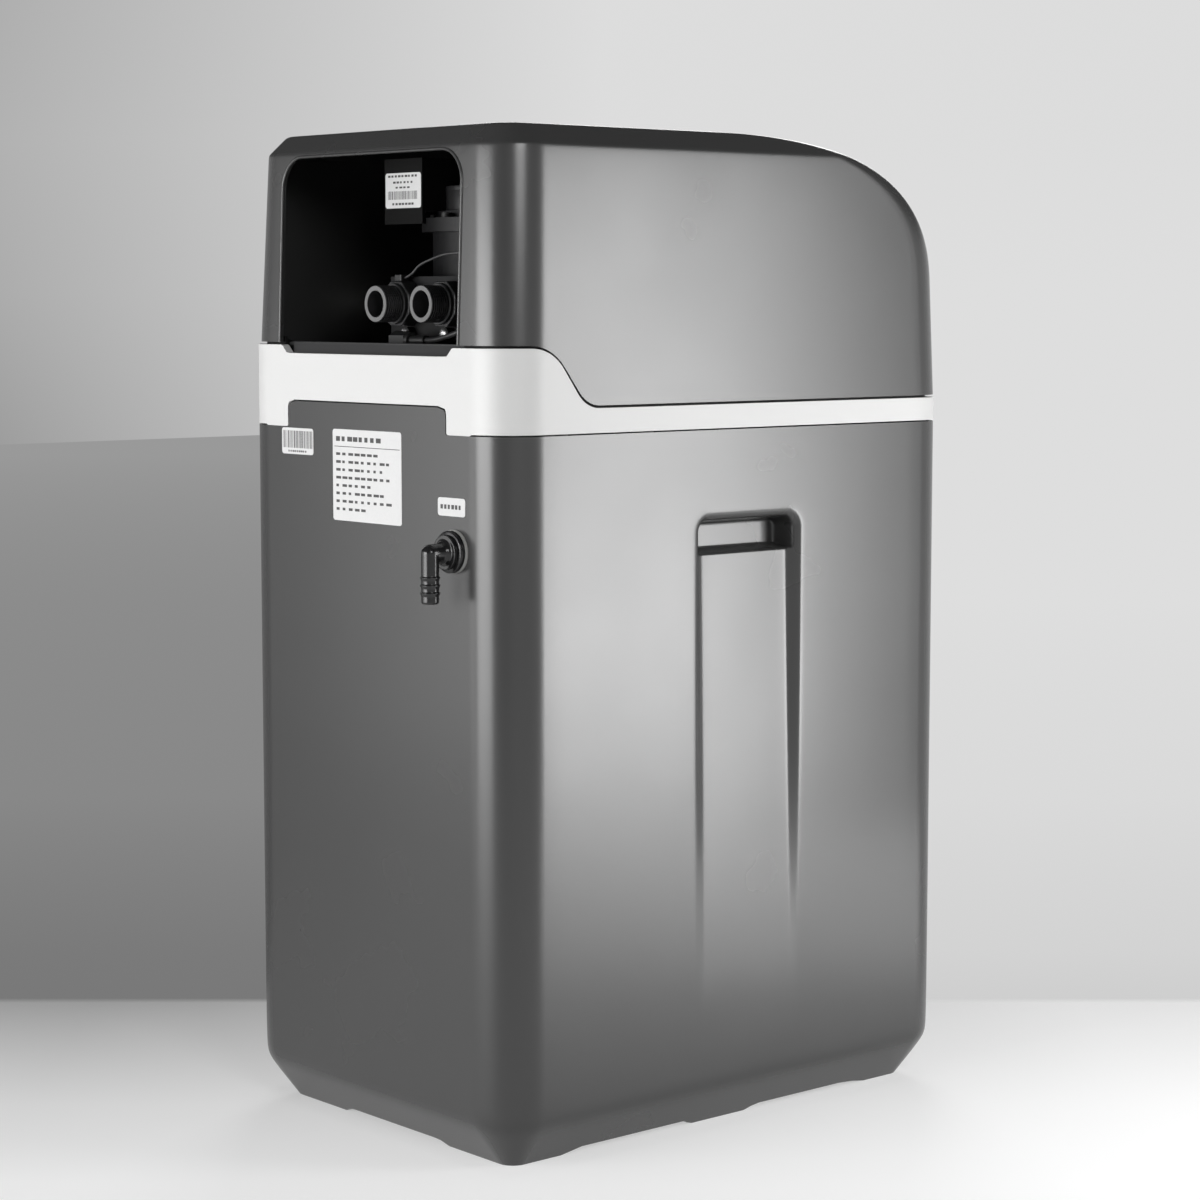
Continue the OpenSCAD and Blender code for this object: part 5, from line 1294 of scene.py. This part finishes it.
def label_paper(spots):
    """Thin labels with rounded corners, on faces that look to the rear."""
    t = bpy.context.scene.softener_labels
    skin = Skin()
    for left, right, low, high, y in spots:
        ring = rounded_ring([(low, right), (high, right), (high, left), (low, left)], t.corner)
        skin.block(ring, Vector((0.0, y, 0.0)), "Y", -t.paper / 2, t.paper)
    return skin.piece("label_paper", crease=40.0)


def label_print(rows, finish):
    """Printed bars, one row of a tree for each line."""
    t = bpy.context.scene.softener_labels
    tree = bars_tree()
    lines = []
    for k, (left, low, y, count, pitch, wide, tall, shortest) in enumerate(rows):
        lines.append(grown("label_line", tree, count=count, start=(left, y + t.paper, low),
                           offset=(-pitch, 0.0, 0.0), bar=(wide, t.ink, tall), shortest=shortest,
                           seed=t.seed + k, finish=finish))
    return joined("label_print", lines)


def label_rows():
    """Lines of plain bars for the labels' print.

    Each has its left end, height and face, then the bars' number, pitch, width, height and shortest share.
    """
    face = MOTOR_HIGH.y
    rows = [(0.099, 0.4915, REAR, 26, 0.00142, 0.0011, 0.0125, 0.25),
            (0.093, 0.4885, REAR, 9, 0.0026, 0.0020, 0.0014, 0.6),
            (0.034, 0.4985, REAR, 8, 0.0068, 0.0060, 0.0034, 0.6),
            (0.036, 0.4945, REAR, 1, 0.0, 0.077, 0.0005, 1.0)]
    words = [7, 9, 8, 9, 6, 8, 9, 5]
    rows += [(0.034, 0.4885 - 0.0056 * k, REAR, count, 0.0074, 0.0064, 0.0019, 0.4)
             for k, count in enumerate(words)]
    rows.append((-0.087, 0.4568, REAR, 6, 0.0040, 0.0034, 0.0030, 0.6))
    left = (MOTOR_LOW.x + MOTOR_HIGH.x) / 2 + 0.018
    low = MOTOR_LOW.z + 0.0115
    rows += [(left, low + 0.0222, face, 9, 0.0040, 0.0034, 0.0016, 0.6),
             (left - 0.006, low + 0.0178, face, 6, 0.0042, 0.0035, 0.0015, 0.5),
             (left - 0.009, low + 0.0142, face, 4, 0.0046, 0.0038, 0.0013, 0.5),
             (left, low + 0.0062, face, 25, 0.00142, 0.0011, 0.0060, 0.25),
             (left - 0.005, low + 0.0022, face, 7, 0.0038, 0.0032, 0.0016, 0.6)]
    return rows


# Finishes

def surface_group(name, *values):
    """Empty shader group for a surface's colour, roughness and height at a place, with inputs of its own."""
    group = bpy.data.node_groups.new(name, "ShaderNodeTree")
    kinds = {"Vector": "Vector", "Colour": "Color"}
    for way, labels in {"INPUT": ("Vector", "Colour", "Roughness", *values),
                        "OUTPUT": ("Colour", "Roughness", "Height")}.items():
        for label in labels:
            kind = "NodeSocket" + kinds.get(label, "Float")
            group.interface.new_socket(label, in_out=way, socket_type=kind)
    return group, group.nodes.new("NodeGroupInput").outputs, group.nodes.new("NodeGroupOutput").inputs


def close_group(group, outward, tint, roughness, height):
    """Links the results of a surface group."""
    for label, socket in (("Colour", tint), ("Roughness", roughness), ("Height", height)):
        group.links.new(socket, outward[label])
    return group


def scaled(group, tint, factor):
    """Colour times a factor."""
    node = add_node(group, "ShaderNodeVectorMath", {"operation": "SCALE"}, Vector=tint, Scale=factor)
    return node.outputs[0]


def noise(group, place, scale, detail):
    """Value of a noise at a place."""
    return add_node(group, "ShaderNodeTexNoise", Vector=place, Scale=scale, Detail=detail).outputs["Fac"]


def math_node(tree, operation, first, second):
    """Math node fed by sockets or plain numbers."""
    node = tree.nodes.new("ShaderNodeMath")
    node.operation = operation
    for socket, value in zip(node.inputs, (first, second)):
        if isinstance(value, (int, float)):
            socket.default_value = value
        else:
            tree.links.new(value, socket)
    return node.outputs[0]


def moulded_group():
    """Fine mould grain and slow mottling on a plastic surface."""
    group, inward, outward = surface_group("moulded_group", "Grain size", "Mottling")
    grain = noise(group, inward["Vector"], inward["Grain size"], 3.0)
    cloud = math_node(group, "SUBTRACT", noise(group, inward["Vector"], 7.0, 4.0), 0.5)
    shift = math_node(group, "MULTIPLY", cloud, inward["Mottling"])
    speck = math_node(group, "MULTIPLY", math_node(group, "SUBTRACT", grain, 0.5), 0.10)
    factor = math_node(group, "ADD", math_node(group, "ADD", shift, speck), 1.0)
    rough = math_node(group, "ADD", inward["Roughness"], math_node(group, "MULTIPLY", cloud, 0.10))
    return close_group(group, outward, scaled(group, inward["Colour"], factor), rough, grain)


def streaks_group():
    """Fine drawing marks along Z on bare metal."""
    group, inward, outward = surface_group("streaks_group")
    squeeze = add_node(group, "ShaderNodeMapping", Vector=inward["Vector"], Scale=(1.0, 1.0, 0.04))
    marks = noise(group, squeeze.outputs["Vector"], 3200.0, 2.0)
    uneven = math_node(group, "SUBTRACT", noise(group, inward["Vector"], 60.0, 2.0), 0.5)
    factor = math_node(group, "ADD", math_node(group, "MULTIPLY", uneven, 0.25), 1.0)
    spread = math_node(group, "MULTIPLY", math_node(group, "SUBTRACT", marks, 0.5), 0.25)
    rough = math_node(group, "ADD", inward["Roughness"], spread)
    return close_group(group, outward, scaled(group, inward["Colour"], factor), rough, marks)


def winding_group():
    """Crossed bands of wound fibre round an upright tank."""
    group, inward, outward = surface_group("winding_group")
    split = add_node(group, "ShaderNodeSeparateXYZ", Vector=inward["Vector"]).outputs
    round_way = math_node(group, "ARCTAN2", split["Y"], split["X"])
    rise = math_node(group, "MULTIPLY", split["Z"], 260.0)
    waves = []
    for turns in (24.0, -24.0):
        phase = math_node(group, "ADD", math_node(group, "MULTIPLY", round_way, turns), rise)
        waves.append(math_node(group, "SINE", phase, 0.0))
    weave = math_node(group, "MAXIMUM", *waves)
    factor = math_node(group, "ADD", math_node(group, "MULTIPLY", weave, 0.10), 0.95)
    rough = math_node(group, "SUBTRACT", inward["Roughness"], math_node(group, "MULTIPLY", weave, 0.06))
    return close_group(group, outward, scaled(group, inward["Colour"], factor), rough, weave)


def board_group():
    """Copper tracks under the green lacquer of a circuit board."""
    group, inward, outward = surface_group("board_group")
    tracks = add_node(group, "ShaderNodeTexBrick", Vector=inward["Vector"], Scale=60.0, Mortar_Size=0.06,
                      Color1=(0.8, 0.8, 0.8, 1.0), Color2=(1.0, 1.0, 1.0, 1.0),
                      Mortar=(1.9, 1.9, 1.9, 1.0)).outputs
    tint = add_node(group, "ShaderNodeVectorMath", {"operation": "MULTIPLY"})
    group.links.new(inward["Colour"], tint.inputs[0])
    group.links.new(tracks["Color"], tint.inputs[1])
    dull = math_node(group, "MULTIPLY", tracks["Fac"], 0.12)
    rough = math_node(group, "SUBTRACT", inward["Roughness"], dull)
    return close_group(group, outward, tint.outputs[0], rough, tracks["Fac"])


def surfaced(name, build, tint, roughness, height, strength=0.4, metallic=0.0, specular=0.5, centre=None,
             **values):
    """Finish from the surface group that a function builds, with values for the group's own inputs."""
    if name in bpy.data.materials:
        return bpy.data.materials[name]
    finish = bpy.data.materials.new(name)
    finish.use_nodes = True
    finish.diffuse_color = (*tint, 1.0)
    tree = finish.node_tree
    place = tree.nodes.new("ShaderNodeTexCoord").outputs["Object"]
    if centre is not None:
        place = add_node(tree, "ShaderNodeMapping", Vector=place, Location=-centre).outputs[0]
    group = bpy.data.node_groups.get(build.__name__) or build()
    surface = add_node(tree, "ShaderNodeGroup", {"node_tree": group}, Vector=place, Colour=(*tint, 1.0),
                       Roughness=roughness, **values).outputs
    bump = add_node(tree, "ShaderNodeBump", Height=surface["Height"], Strength=strength, Distance=height)
    shader = tree.nodes["Principled BSDF"].inputs
    tree.links.new(surface["Colour"], shader["Base Color"])
    tree.links.new(surface["Roughness"], shader["Roughness"])
    tree.links.new(bump.outputs["Normal"], shader["Normal"])
    shader["Metallic"].default_value = metallic
    shader["Specular IOR Level"].default_value = specular
    return finish


def moulded(name, tint, roughness, grain_size=2600.0, grain_height=0.00002, mottling=0.04, specular=0.5):
    """Plastic or rubber with grain and mottling of its own."""
    return surfaced(name, moulded_group, tint, roughness, grain_height, strength=0.35, specular=specular,
                    Grain_size=grain_size, Mottling=mottling)


def drawn_metal(name, tint, roughness, metallic=1.0):
    """Metal with drawing marks."""
    return surfaced(name, streaks_group, tint, roughness, 0.00001, metallic=metallic)


def finishes():
    """A finish for each material slot of the record, and for some single pieces."""
    f = bpy.context.scene.softener_finish
    tank_low, tank_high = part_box("resin_tank")
    tank = (tank_low + tank_high) / 2
    return {
        "grey_plastic": moulded("grey_plastic_satin", f.grey, 0.26, specular=0.6),
        "white_plastic": moulded("white_plastic_satin", f.white, 0.45, mottling=0.02),
        "black_plastic": moulded("black_plastic_moulded", f.black, 0.42),
        "valve_plastic": moulded("valve_plastic_filled", (0.006, 0.006, 0.0065), 0.45, grain_size=1500.0,
                                 mottling=0.15, specular=0.22),
        "port_plastic": moulded("port_plastic_satin", f.port, 0.42),
        "panel_plastic": moulded("panel_plastic_satin", (0.030, 0.030, 0.033), 0.35),
        "key_plastic": moulded("key_plastic_soft", (0.42, 0.43, 0.44), 0.45),
        "pale_plastic": moulded("pale_plastic_natural", f.pale, 0.42, mottling=0.08),
        "grid_plastic": moulded("grid_plastic_matt", (0.10, 0.10, 0.105), 0.55, mottling=0.12),
        "tank_shell": surfaced("tank_fibre_wound", winding_group, (0.36, 0.37, 0.33), 0.35, 0.0004,
                               centre=tank),
        "ceramic": moulded("ceramic_ground", (0.74, 0.72, 0.66), 0.16, grain_size=5000.0, mottling=0.03),
        "steel": drawn_metal("steel_drawn", (0.80, 0.80, 0.80), 0.40),
        "motor_steel": drawn_metal("motor_steel_plated", (0.48, 0.48, 0.47), 0.38),
        "brass": drawn_metal("brass_turned", (0.70, 0.52, 0.24), 0.30),
        "seal_rubber": moulded("seal_rubber_soft", (0.020, 0.020, 0.020), 0.6),
        "gasket_rubber": moulded("gasket_rubber_soft", f.gasket, 0.65, grain_size=1800.0),
        "board": surfaced("board_lacquer", board_group, (0.020, 0.095, 0.040), 0.35, 0.00005),
        "display_glass": moulded("display_glass_dark", (0.018, 0.026, 0.024), 0.09, grain_height=0.0,
                                 mottling=0.2),
        "lead_jacket": moulded("lead_jacket_soft", f.jacket, 0.40, grain_size=3500.0),
        # Painted shade inside the hood, on parts of the same grey plastic
        "lining": moulded("hood_inner_painted_shade", f.lining, 0.6, specular=0.2),
        "glossy_black": moulded("black_plastic_glossy", f.black, 0.20, grain_height=0.00001),
        "dull_black": moulded("black_plastic_dull", (0.006, 0.006, 0.006), 0.75, specular=0.12),
        # Painted light on the ports' end faces
        "port_face": moulded("port_face_painted_light", f.port_face, 0.6, grain_size=1500.0, mottling=0.15),
        "sill": moulded("sill_plastic_smooth", (0.055, 0.055, 0.056), 0.32),
        "black_steel": drawn_metal("steel_blackened", (0.014, 0.014, 0.014), 0.60, metallic=0.4),
        "paper": moulded("label_paper_matt", f.paper, 0.55, grain_size=900.0, grain_height=0.00001,
                         mottling=0.03),
        "ink": moulded("label_ink_matt", f.ink, 0.6, grain_size=4000.0, mottling=0.2),
    }


def ease_node(name, width):
    """Rounds the edges of a solid part that shows as it is."""
    node = frame["nodes"][name]
    merge = node.modifiers.new("Merge", "WELD")
    merge.merge_threshold = 1e-6
    add_rounding(node, width, 40.0)


# Operators

class SOFTENER_OT_cabinet(bpy.types.Operator):
    """Build the cabinet"""
    bl_idname = "softener.cabinet"
    bl_label = "Cabinet"

    def execute(self, context):
        dress(build_cabinet(), ["cabinet_shell"], "grey_plastic", "grey_plastic")
        return {"FINISHED"}


class SOFTENER_OT_collar(bpy.types.Operator):
    """Build the collar"""
    bl_idname = "softener.collar"
    bl_label = "Collar"

    def execute(self, context):
        for build in (build_collar, build_ledge):
            dress(build(), ["collar_band"], "white_plastic", "white_plastic")
        return {"FINISHED"}


class SOFTENER_OT_hood(bpy.types.Operator):
    """Build the hood"""
    bl_idname = "softener.hood"
    bl_label = "Hood"

    def execute(self, context):
        # The hood's inner faces take the painted shade
        dress(build_hood(), ["hood_shell"], "grey_plastic", "grey_plastic", "lining")
        dress(build_bay_lip(), ["hood_shell"], "grey_plastic", "grey_plastic")
        dress(build_sill(), [], "black_plastic", "sill")
        # Rim and lid rest are grey plastic, painted wholly with the inner painted shade
        for build in (build_hood_rim, build_lid_rest):
            dress(build(), ["hood_shell"], "grey_plastic", "lining")
        return {"FINISHED"}


class SOFTENER_OT_lid(bpy.types.Operator):
    """Build the salt lid"""
    bl_idname = "softener.lid"
    bl_label = "Salt lid"

    def execute(self, context):
        dress(build_lid(), ["salt_lid"], "grey_plastic", "grey_plastic", body="salt_lid")
        return {"FINISHED"}


class SOFTENER_OT_ports(bpy.types.Operator):
    """Build the two pipe ports with their threads"""
    bl_idname = "softener.ports"
    bl_label = "Pipe ports"

    def execute(self, context):
        for name, node in (("inlet_port", "inlet_adapter"), ("outlet_port", "outlet_adapter")):
            dress(build_port(name, node), [node], "port_plastic", "port_plastic", "port_face")
        dress(build_turbine_webs(), ["outlet_adapter"], "port_plastic", "port_plastic")
        dress(build_threads(finishes()["port_plastic"]), ["inlet_adapter", "outlet_adapter"], "port_plastic")
        dress(build_port_screws(finishes()["steel"]), ["port_screws"], "steel")
        return {"FINISHED"}


class SOFTENER_OT_overflow(bpy.types.Operator):
    """Build the overflow on the rear wall"""
    bl_idname = "softener.overflow"
    bl_label = "Overflow"

    def execute(self, context):
        dress(build_gasket(), ["overflow_gasket"], "gasket_rubber", "gasket_rubber")
        dress(build_grommet(), ["overflow_grommet"], "black_plastic", "glossy_black")
        dress(build_elbow(), ["overflow_elbow"], "black_plastic", "glossy_black", body="overflow_elbow")
        return {"FINISHED"}


class SOFTENER_OT_leads(bpy.types.Operator):
    """Build the leads and the brine line"""
    bl_idname = "softener.leads"
    bl_label = "Leads and brine line"

    def execute(self, context):
        for node, route, radius, sides, slot in LEADS:
            dress(build_lead(node + "_round", route, radius, sides), [node], slot, slot)
        return {"FINISHED"}


class SOFTENER_OT_labels(bpy.types.Operator):
    """Stick on the plain labels"""
    bl_idname = "softener.labels"
    bl_label = "Labels"

    def execute(self, context):
        middle = (MOTOR_LOW.x + MOTOR_HIGH.x) / 2
        spots = [(*spot, REAR) for spot in LABELS.values()]
        half = 0.0212
        spots.append((middle + half, middle - half, MOTOR_LOW.z + 0.0115, MOTOR_LOW.z + 0.0368, MOTOR_HIGH.y))
        dress(label_paper(spots), [], "white_plastic", "paper")
        dress(label_print(label_rows(), finishes()["ink"]), [], "black_plastic")
        return {"FINISHED"}


class SOFTENER_OT_inner(bpy.types.Operator):
    """Give the solid parts their finishes and soft edges"""
    bl_idname = "softener.inner"
    bl_label = "Inner parts"

    def execute(self, context):
        paints = finishes()
        special = {"cap_screws": "black_steel", "motor_cover": "dull_black"}
        for row in frame["record"]["subparts"]:
            data = frame["nodes"][row["node"]].data
            data.materials.clear()
            data.materials.append(paints[special.get(row["node"], row["material_slot"])])
        for name in EASED:
            ease_node(name, 0.0009)
        return {"FINISHED"}


class SOFTENER_OT_stage(bpy.types.Operator):
    """Set up floor, light and camera"""
    bl_idname = "softener.stage"
    bl_label = "Stage"

    def execute(self, context):
        build_stage()
        return {"FINISHED"}


# Stage

def aim(item, place, ahead):
    """Puts a lamp or camera at a place, with its view along a direction."""
    item.location = place
    item.rotation_mode = "QUATERNION"
    item.rotation_quaternion = ahead.to_track_quat("-Z", "Y")


def area_lamp(name, place, target, width, height, power):
    """Soft rectangular lamp that looks at a point."""
    data = bpy.data.lights.new(name, "AREA")
    data.shape = "RECTANGLE"
    data.size = width
    data.size_y = height
    data.energy = power
    aim(put(name, data), place, Vector(target) - Vector(place))


def ramp_node(tree, value, stops):
    """Grey ramp over a value from 0 to 1."""
    ramp = tree.nodes.new("ShaderNodeValToRGB")
    band = ramp.color_ramp
    while len(band.elements) < len(stops):
        band.elements.new(0.5)
    for element, (place, tone) in zip(band.elements, stops):
        element.position = place
        element.color = (tone, tone, tone, 1.0)
    tree.links.new(value, ramp.inputs["Fac"])
    return ramp.outputs["Color"]


def along_node(tree, vector, way, low, high):
    """Distance along a direction, as a share of a span."""
    dot = tree.nodes.new("ShaderNodeVectorMath")
    dot.operation = "DOT_PRODUCT"
    tree.links.new(vector, dot.inputs[0])
    dot.inputs[1].default_value = way
    span = add_node(tree, "ShaderNodeMapRange", Value=dot.outputs["Value"], From_Min=low, From_Max=high)
    return span.outputs["Result"]


def two_tone(tree, side, depth, left_stops, right_stops):
    """Painted light: grey that goes from one ramp at the left to another at the right."""
    mix = tree.nodes.new("ShaderNodeMix")
    mix.data_type = "RGBA"
    tree.links.new(side, mix.inputs[0])
    tree.links.new(ramp_node(tree, depth, left_stops), mix.inputs[6])
    tree.links.new(ramp_node(tree, depth, right_stops), mix.inputs[7])
    return mix.outputs[2]


def seen_node(tree):
    """One for rays from the camera, mirrors and glass, else zero."""
    path = tree.nodes.new("ShaderNodeLightPath")
    glossy = math_node(tree, "MAXIMUM", path.outputs["Is Camera Ray"], path.outputs["Is Glossy Ray"])
    return math_node(tree, "MAXIMUM", glossy, path.outputs["Is Transmission Ray"])


def mix_shaders(tree, share, first, second, output):
    """Sends a mix of two shaders to the tree's output."""
    mix = tree.nodes.new("ShaderNodeMixShader")
    for socket, value in zip(mix.inputs, (share, first, second)):
        tree.links.new(value, socket)
    tree.links.new(mix.outputs[0], tree.nodes[output].inputs["Surface"])


def build_floor():
    """Pale floor that keeps the shadow, with painted light that is brighter to the right and nearer the
    camera, and that turns into the backdrop behind the object.
    """
    t = bpy.context.scene.softener_stage
    data = bpy.data.meshes.new("floor")
    reach = 9.0
    data.from_pydata([(-reach, -reach, 0), (reach, -reach, 0), (reach, reach, 0), (-reach, reach, 0)], [],
                     [(0, 1, 2, 3)])
    floor = put("floor", data)
    paint = bpy.data.materials.new("floor_paint")
    paint.use_nodes = True
    tree = paint.node_tree
    shader = tree.nodes["Principled BSDF"]
    shader.inputs["Base Color"].default_value = (*t.floor, 1.0)
    shader.inputs["Roughness"].default_value = 0.7
    ahead = Vector((math.sin(t.camera_heading), math.cos(t.camera_heading), 0.0))
    right = Vector((ahead.y, -ahead.x, 0.0))
    place = tree.nodes.new("ShaderNodeTexCoord").outputs["Object"]
    side = along_node(tree, place, right, -0.42, 0.42)
    # Painted light on the near floor for the camera and mirrors, brighter to the right and nearer the camera
    near = two_tone(tree, side, along_node(tree, place, ahead, -0.25, t.horizon), FLOOR_PAINTED_LIGHT_LEFT, FLOOR_PAINTED_LIGHT_RIGHT)
    # Painted light falloff on the far floor that serves as backdrop, darker to the left
    far = two_tone(tree, along_node(tree, place, right, -0.28, 0.28),
                   along_node(tree, place, ahead, t.horizon, reach), BACKDROP_PAINTED_LIGHT_LEFT, BACKDROP_PAINTED_LIGHT_RIGHT)
    painted_floor_light = add_node(tree, "ShaderNodeEmission", Color=near, Strength=seen_node(tree))
    lit = tree.nodes.new("ShaderNodeAddShader")
    tree.links.new(shader.outputs[0], lit.inputs[0])
    tree.links.new(painted_floor_light.outputs[0], lit.inputs[1])
    distant = add_node(tree, "ShaderNodeEmission", Color=far)
    blur = 0.008
    beyond = along_node(tree, place, ahead, t.horizon - blur, t.horizon + blur)
    share = math_node(tree, "MULTIPLY", beyond, seen_node(tree))
    mix_shaders(tree, share, lit.outputs[0], distant.outputs[0], "Material Output")
    data.materials.append(paint)


def build_world():
    """Backdrop for the camera and reflections, with painted light falloff that is darker to the left and dark
    high up, and a weak even fill for the rest.
    """
    t = bpy.context.scene.softener_stage
    world = bpy.data.worlds.new("studio")
    world.use_nodes = True
    bpy.context.scene.world = world
    tree = world.node_tree
    shown = tree.nodes["Background"]
    right = Vector((math.cos(t.camera_heading), -math.sin(t.camera_heading), 0.0))
    way = tree.nodes.new("ShaderNodeTexCoord").outputs["Generated"]
    # Painted light falloff on the sky, darker to the left and dark high up
    tone = two_tone(tree, along_node(tree, way, right, -0.20, 0.0),
                    along_node(tree, way, Vector((0.0, 0.0, 1.0)), -0.06, 0.26), SKY_PAINTED_LIGHT_LEFT, SKY_PAINTED_LIGHT_RIGHT)
    tree.links.new(tone, shown.inputs["Color"])
    fill = add_node(tree, "ShaderNodeBackground", Color=(t.fill, t.fill, t.fill, 1.0))
    mix_shaders(tree, seen_node(tree), fill.outputs[0], shown.outputs[0], "World Output")


def build_stage():
    """Floor, backdrop, soft lamps and the camera."""
    scene = bpy.context.scene
    t = scene.softener_stage
    scene.view_settings.view_transform = "Standard"
    build_floor()
    build_world()
    for name, place, target, width, height, power in LAMPS:
        area_lamp(name, place, target, width, height, power)
    # The overhead lamp stays out of mirrors, and the foot lamp shows only in them
    bpy.data.objects["overhead"].visible_glossy = False
    bpy.data.objects["side_foot"].visible_diffuse = False
    camera = put("camera", bpy.data.cameras.new("camera"))
    camera.data.lens = t.camera_lens
    camera.data.sensor_width = 36.0
    heading, pitch = t.camera_heading, t.camera_pitch
    level = math.cos(pitch)
    ahead = Vector((math.sin(heading) * level, math.cos(heading) * level, math.sin(pitch)))
    aim(camera, t.camera_place, ahead)
    scene.camera = camera


# Shares of a span and the grey tone at each; these ramps paint light on the floor, the backdrop and the sky
FLOOR_PAINTED_LIGHT_LEFT = [(0.0, 0.40), (0.37, 0.31), (0.69, 0.16), (1.0, 0.02)]
FLOOR_PAINTED_LIGHT_RIGHT = [(0.0, 0.62), (0.37, 0.58), (0.69, 0.49), (1.0, 0.41)]
# Painted light falloff of the backdrop and the sky
BACKDROP_PAINTED_LIGHT_LEFT = [(0.0, 0.190), (0.022, 0.195), (0.118, 0.246), (0.38, 0.262), (1.0, 0.32)]
BACKDROP_PAINTED_LIGHT_RIGHT = [(0.0, 0.62), (0.022, 0.65), (0.118, 0.70), (0.38, 0.73), (1.0, 0.73)]
SKY_PAINTED_LIGHT_LEFT = [(0.0, 0.32), (0.19, 0.41), (0.35, 0.44), (0.5, 0.42), (0.75, 0.05)]
SKY_PAINTED_LIGHT_RIGHT = [(0.0, 0.73), (0.19, 0.73), (0.35, 0.72), (0.5, 0.72), (0.75, 0.05)]
# Name, place, target, width, height and power
LAMPS = [
    ("side_high", (-1.209, -0.820, 0.655), (-0.239, -0.576, 0.655), 0.46, 0.43, 7.0),
    ("side_low", (-1.209, -0.820, 0.225), (-0.239, -0.576, 0.225), 0.46, 0.43, 8.4),
    ("rear_high", (0.188, 1.833, 0.655), (-0.003, 0.851, 0.655), 1.15, 0.43, 16.0),
    ("rear_low", (0.188, 1.833, 0.225), (-0.003, 0.851, 0.225), 1.15, 0.43, 10.0),
    ("high_strip", (-1.375, 0.620, 1.03), (-0.15, 0.19, 0.68), 0.45, 0.36, 5.0),
    ("overhead", (0.2, 0.0, 2.4), (0.0, 0.0, 0.0), 1.2, 1.2, 9.0),
    ("front_fill", (1.5, -1.5, 1.2), (0.0, 0.0, 0.4), 0.9, 0.9, 11.0),
    ("rear_fill", (1.170, 1.492, 0.44), (0.0, 0.206, 0.44), 0.62, 0.86, 4.0),
    ("side_foot", (-0.533, -0.327, 0.066), (-0.155, 0.0, 0.066), 0.60, 0.13, 0.40),
]


class SOFTENER_PT_panel(bpy.types.Panel):
    """Lists the steps that build the softener"""
    bl_idname = "SOFTENER_PT_panel"
    bl_label = "Water softener"
    bl_space_type = "VIEW_3D"
    bl_region_type = "UI"
    bl_category = "Softener"

    def draw(self, context):
        for step in STEPS:
            self.layout.operator(step.bl_idname)


EASED = ("motor_cover", "meter_sensor", "control_housing", "control_panel", "menu_key", "down_key", "up_key",
         "set_key", "gear_housing", "gear_cover", "brine_well_cap", "valve_deck", "power_socket")
GROUPS = {
    "softener_shell": SoftenerShell,
    "softener_port": SoftenerPort,
    "softener_overflow": SoftenerOverflow,
    "softener_labels": SoftenerLabels,
    "softener_grip": SoftenerGrip,
    "softener_finish": SoftenerFinish,
    "softener_stage": SoftenerStage,
}
STEPS = [SOFTENER_OT_inner, SOFTENER_OT_cabinet, SOFTENER_OT_collar, SOFTENER_OT_hood, SOFTENER_OT_lid,
         SOFTENER_OT_ports, SOFTENER_OT_overflow, SOFTENER_OT_leads, SOFTENER_OT_labels, SOFTENER_OT_stage]


def register():
    """Registers the sizes, the steps and the panel."""
    for name, group in GROUPS.items():
        bpy.utils.register_class(group)
        setattr(bpy.types.Scene, name, bpy.props.PointerProperty(type=group))
    for step in [*STEPS, SOFTENER_PT_panel]:
        bpy.utils.register_class(step)


def unregister():
    """Takes back what register adds."""
    for step in [SOFTENER_PT_panel, *reversed(STEPS)]:
        bpy.utils.unregister_class(step)
    for name, group in reversed(GROUPS.items()):
        delattr(bpy.types.Scene, name)
        bpy.utils.unregister_class(group)


def main():
    """Builds everything."""
    register()
    for step in STEPS:
        area, call = step.bl_idname.split(".")
        getattr(getattr(bpy.ops, area), call)()


if __name__ == "__main__":
    main()
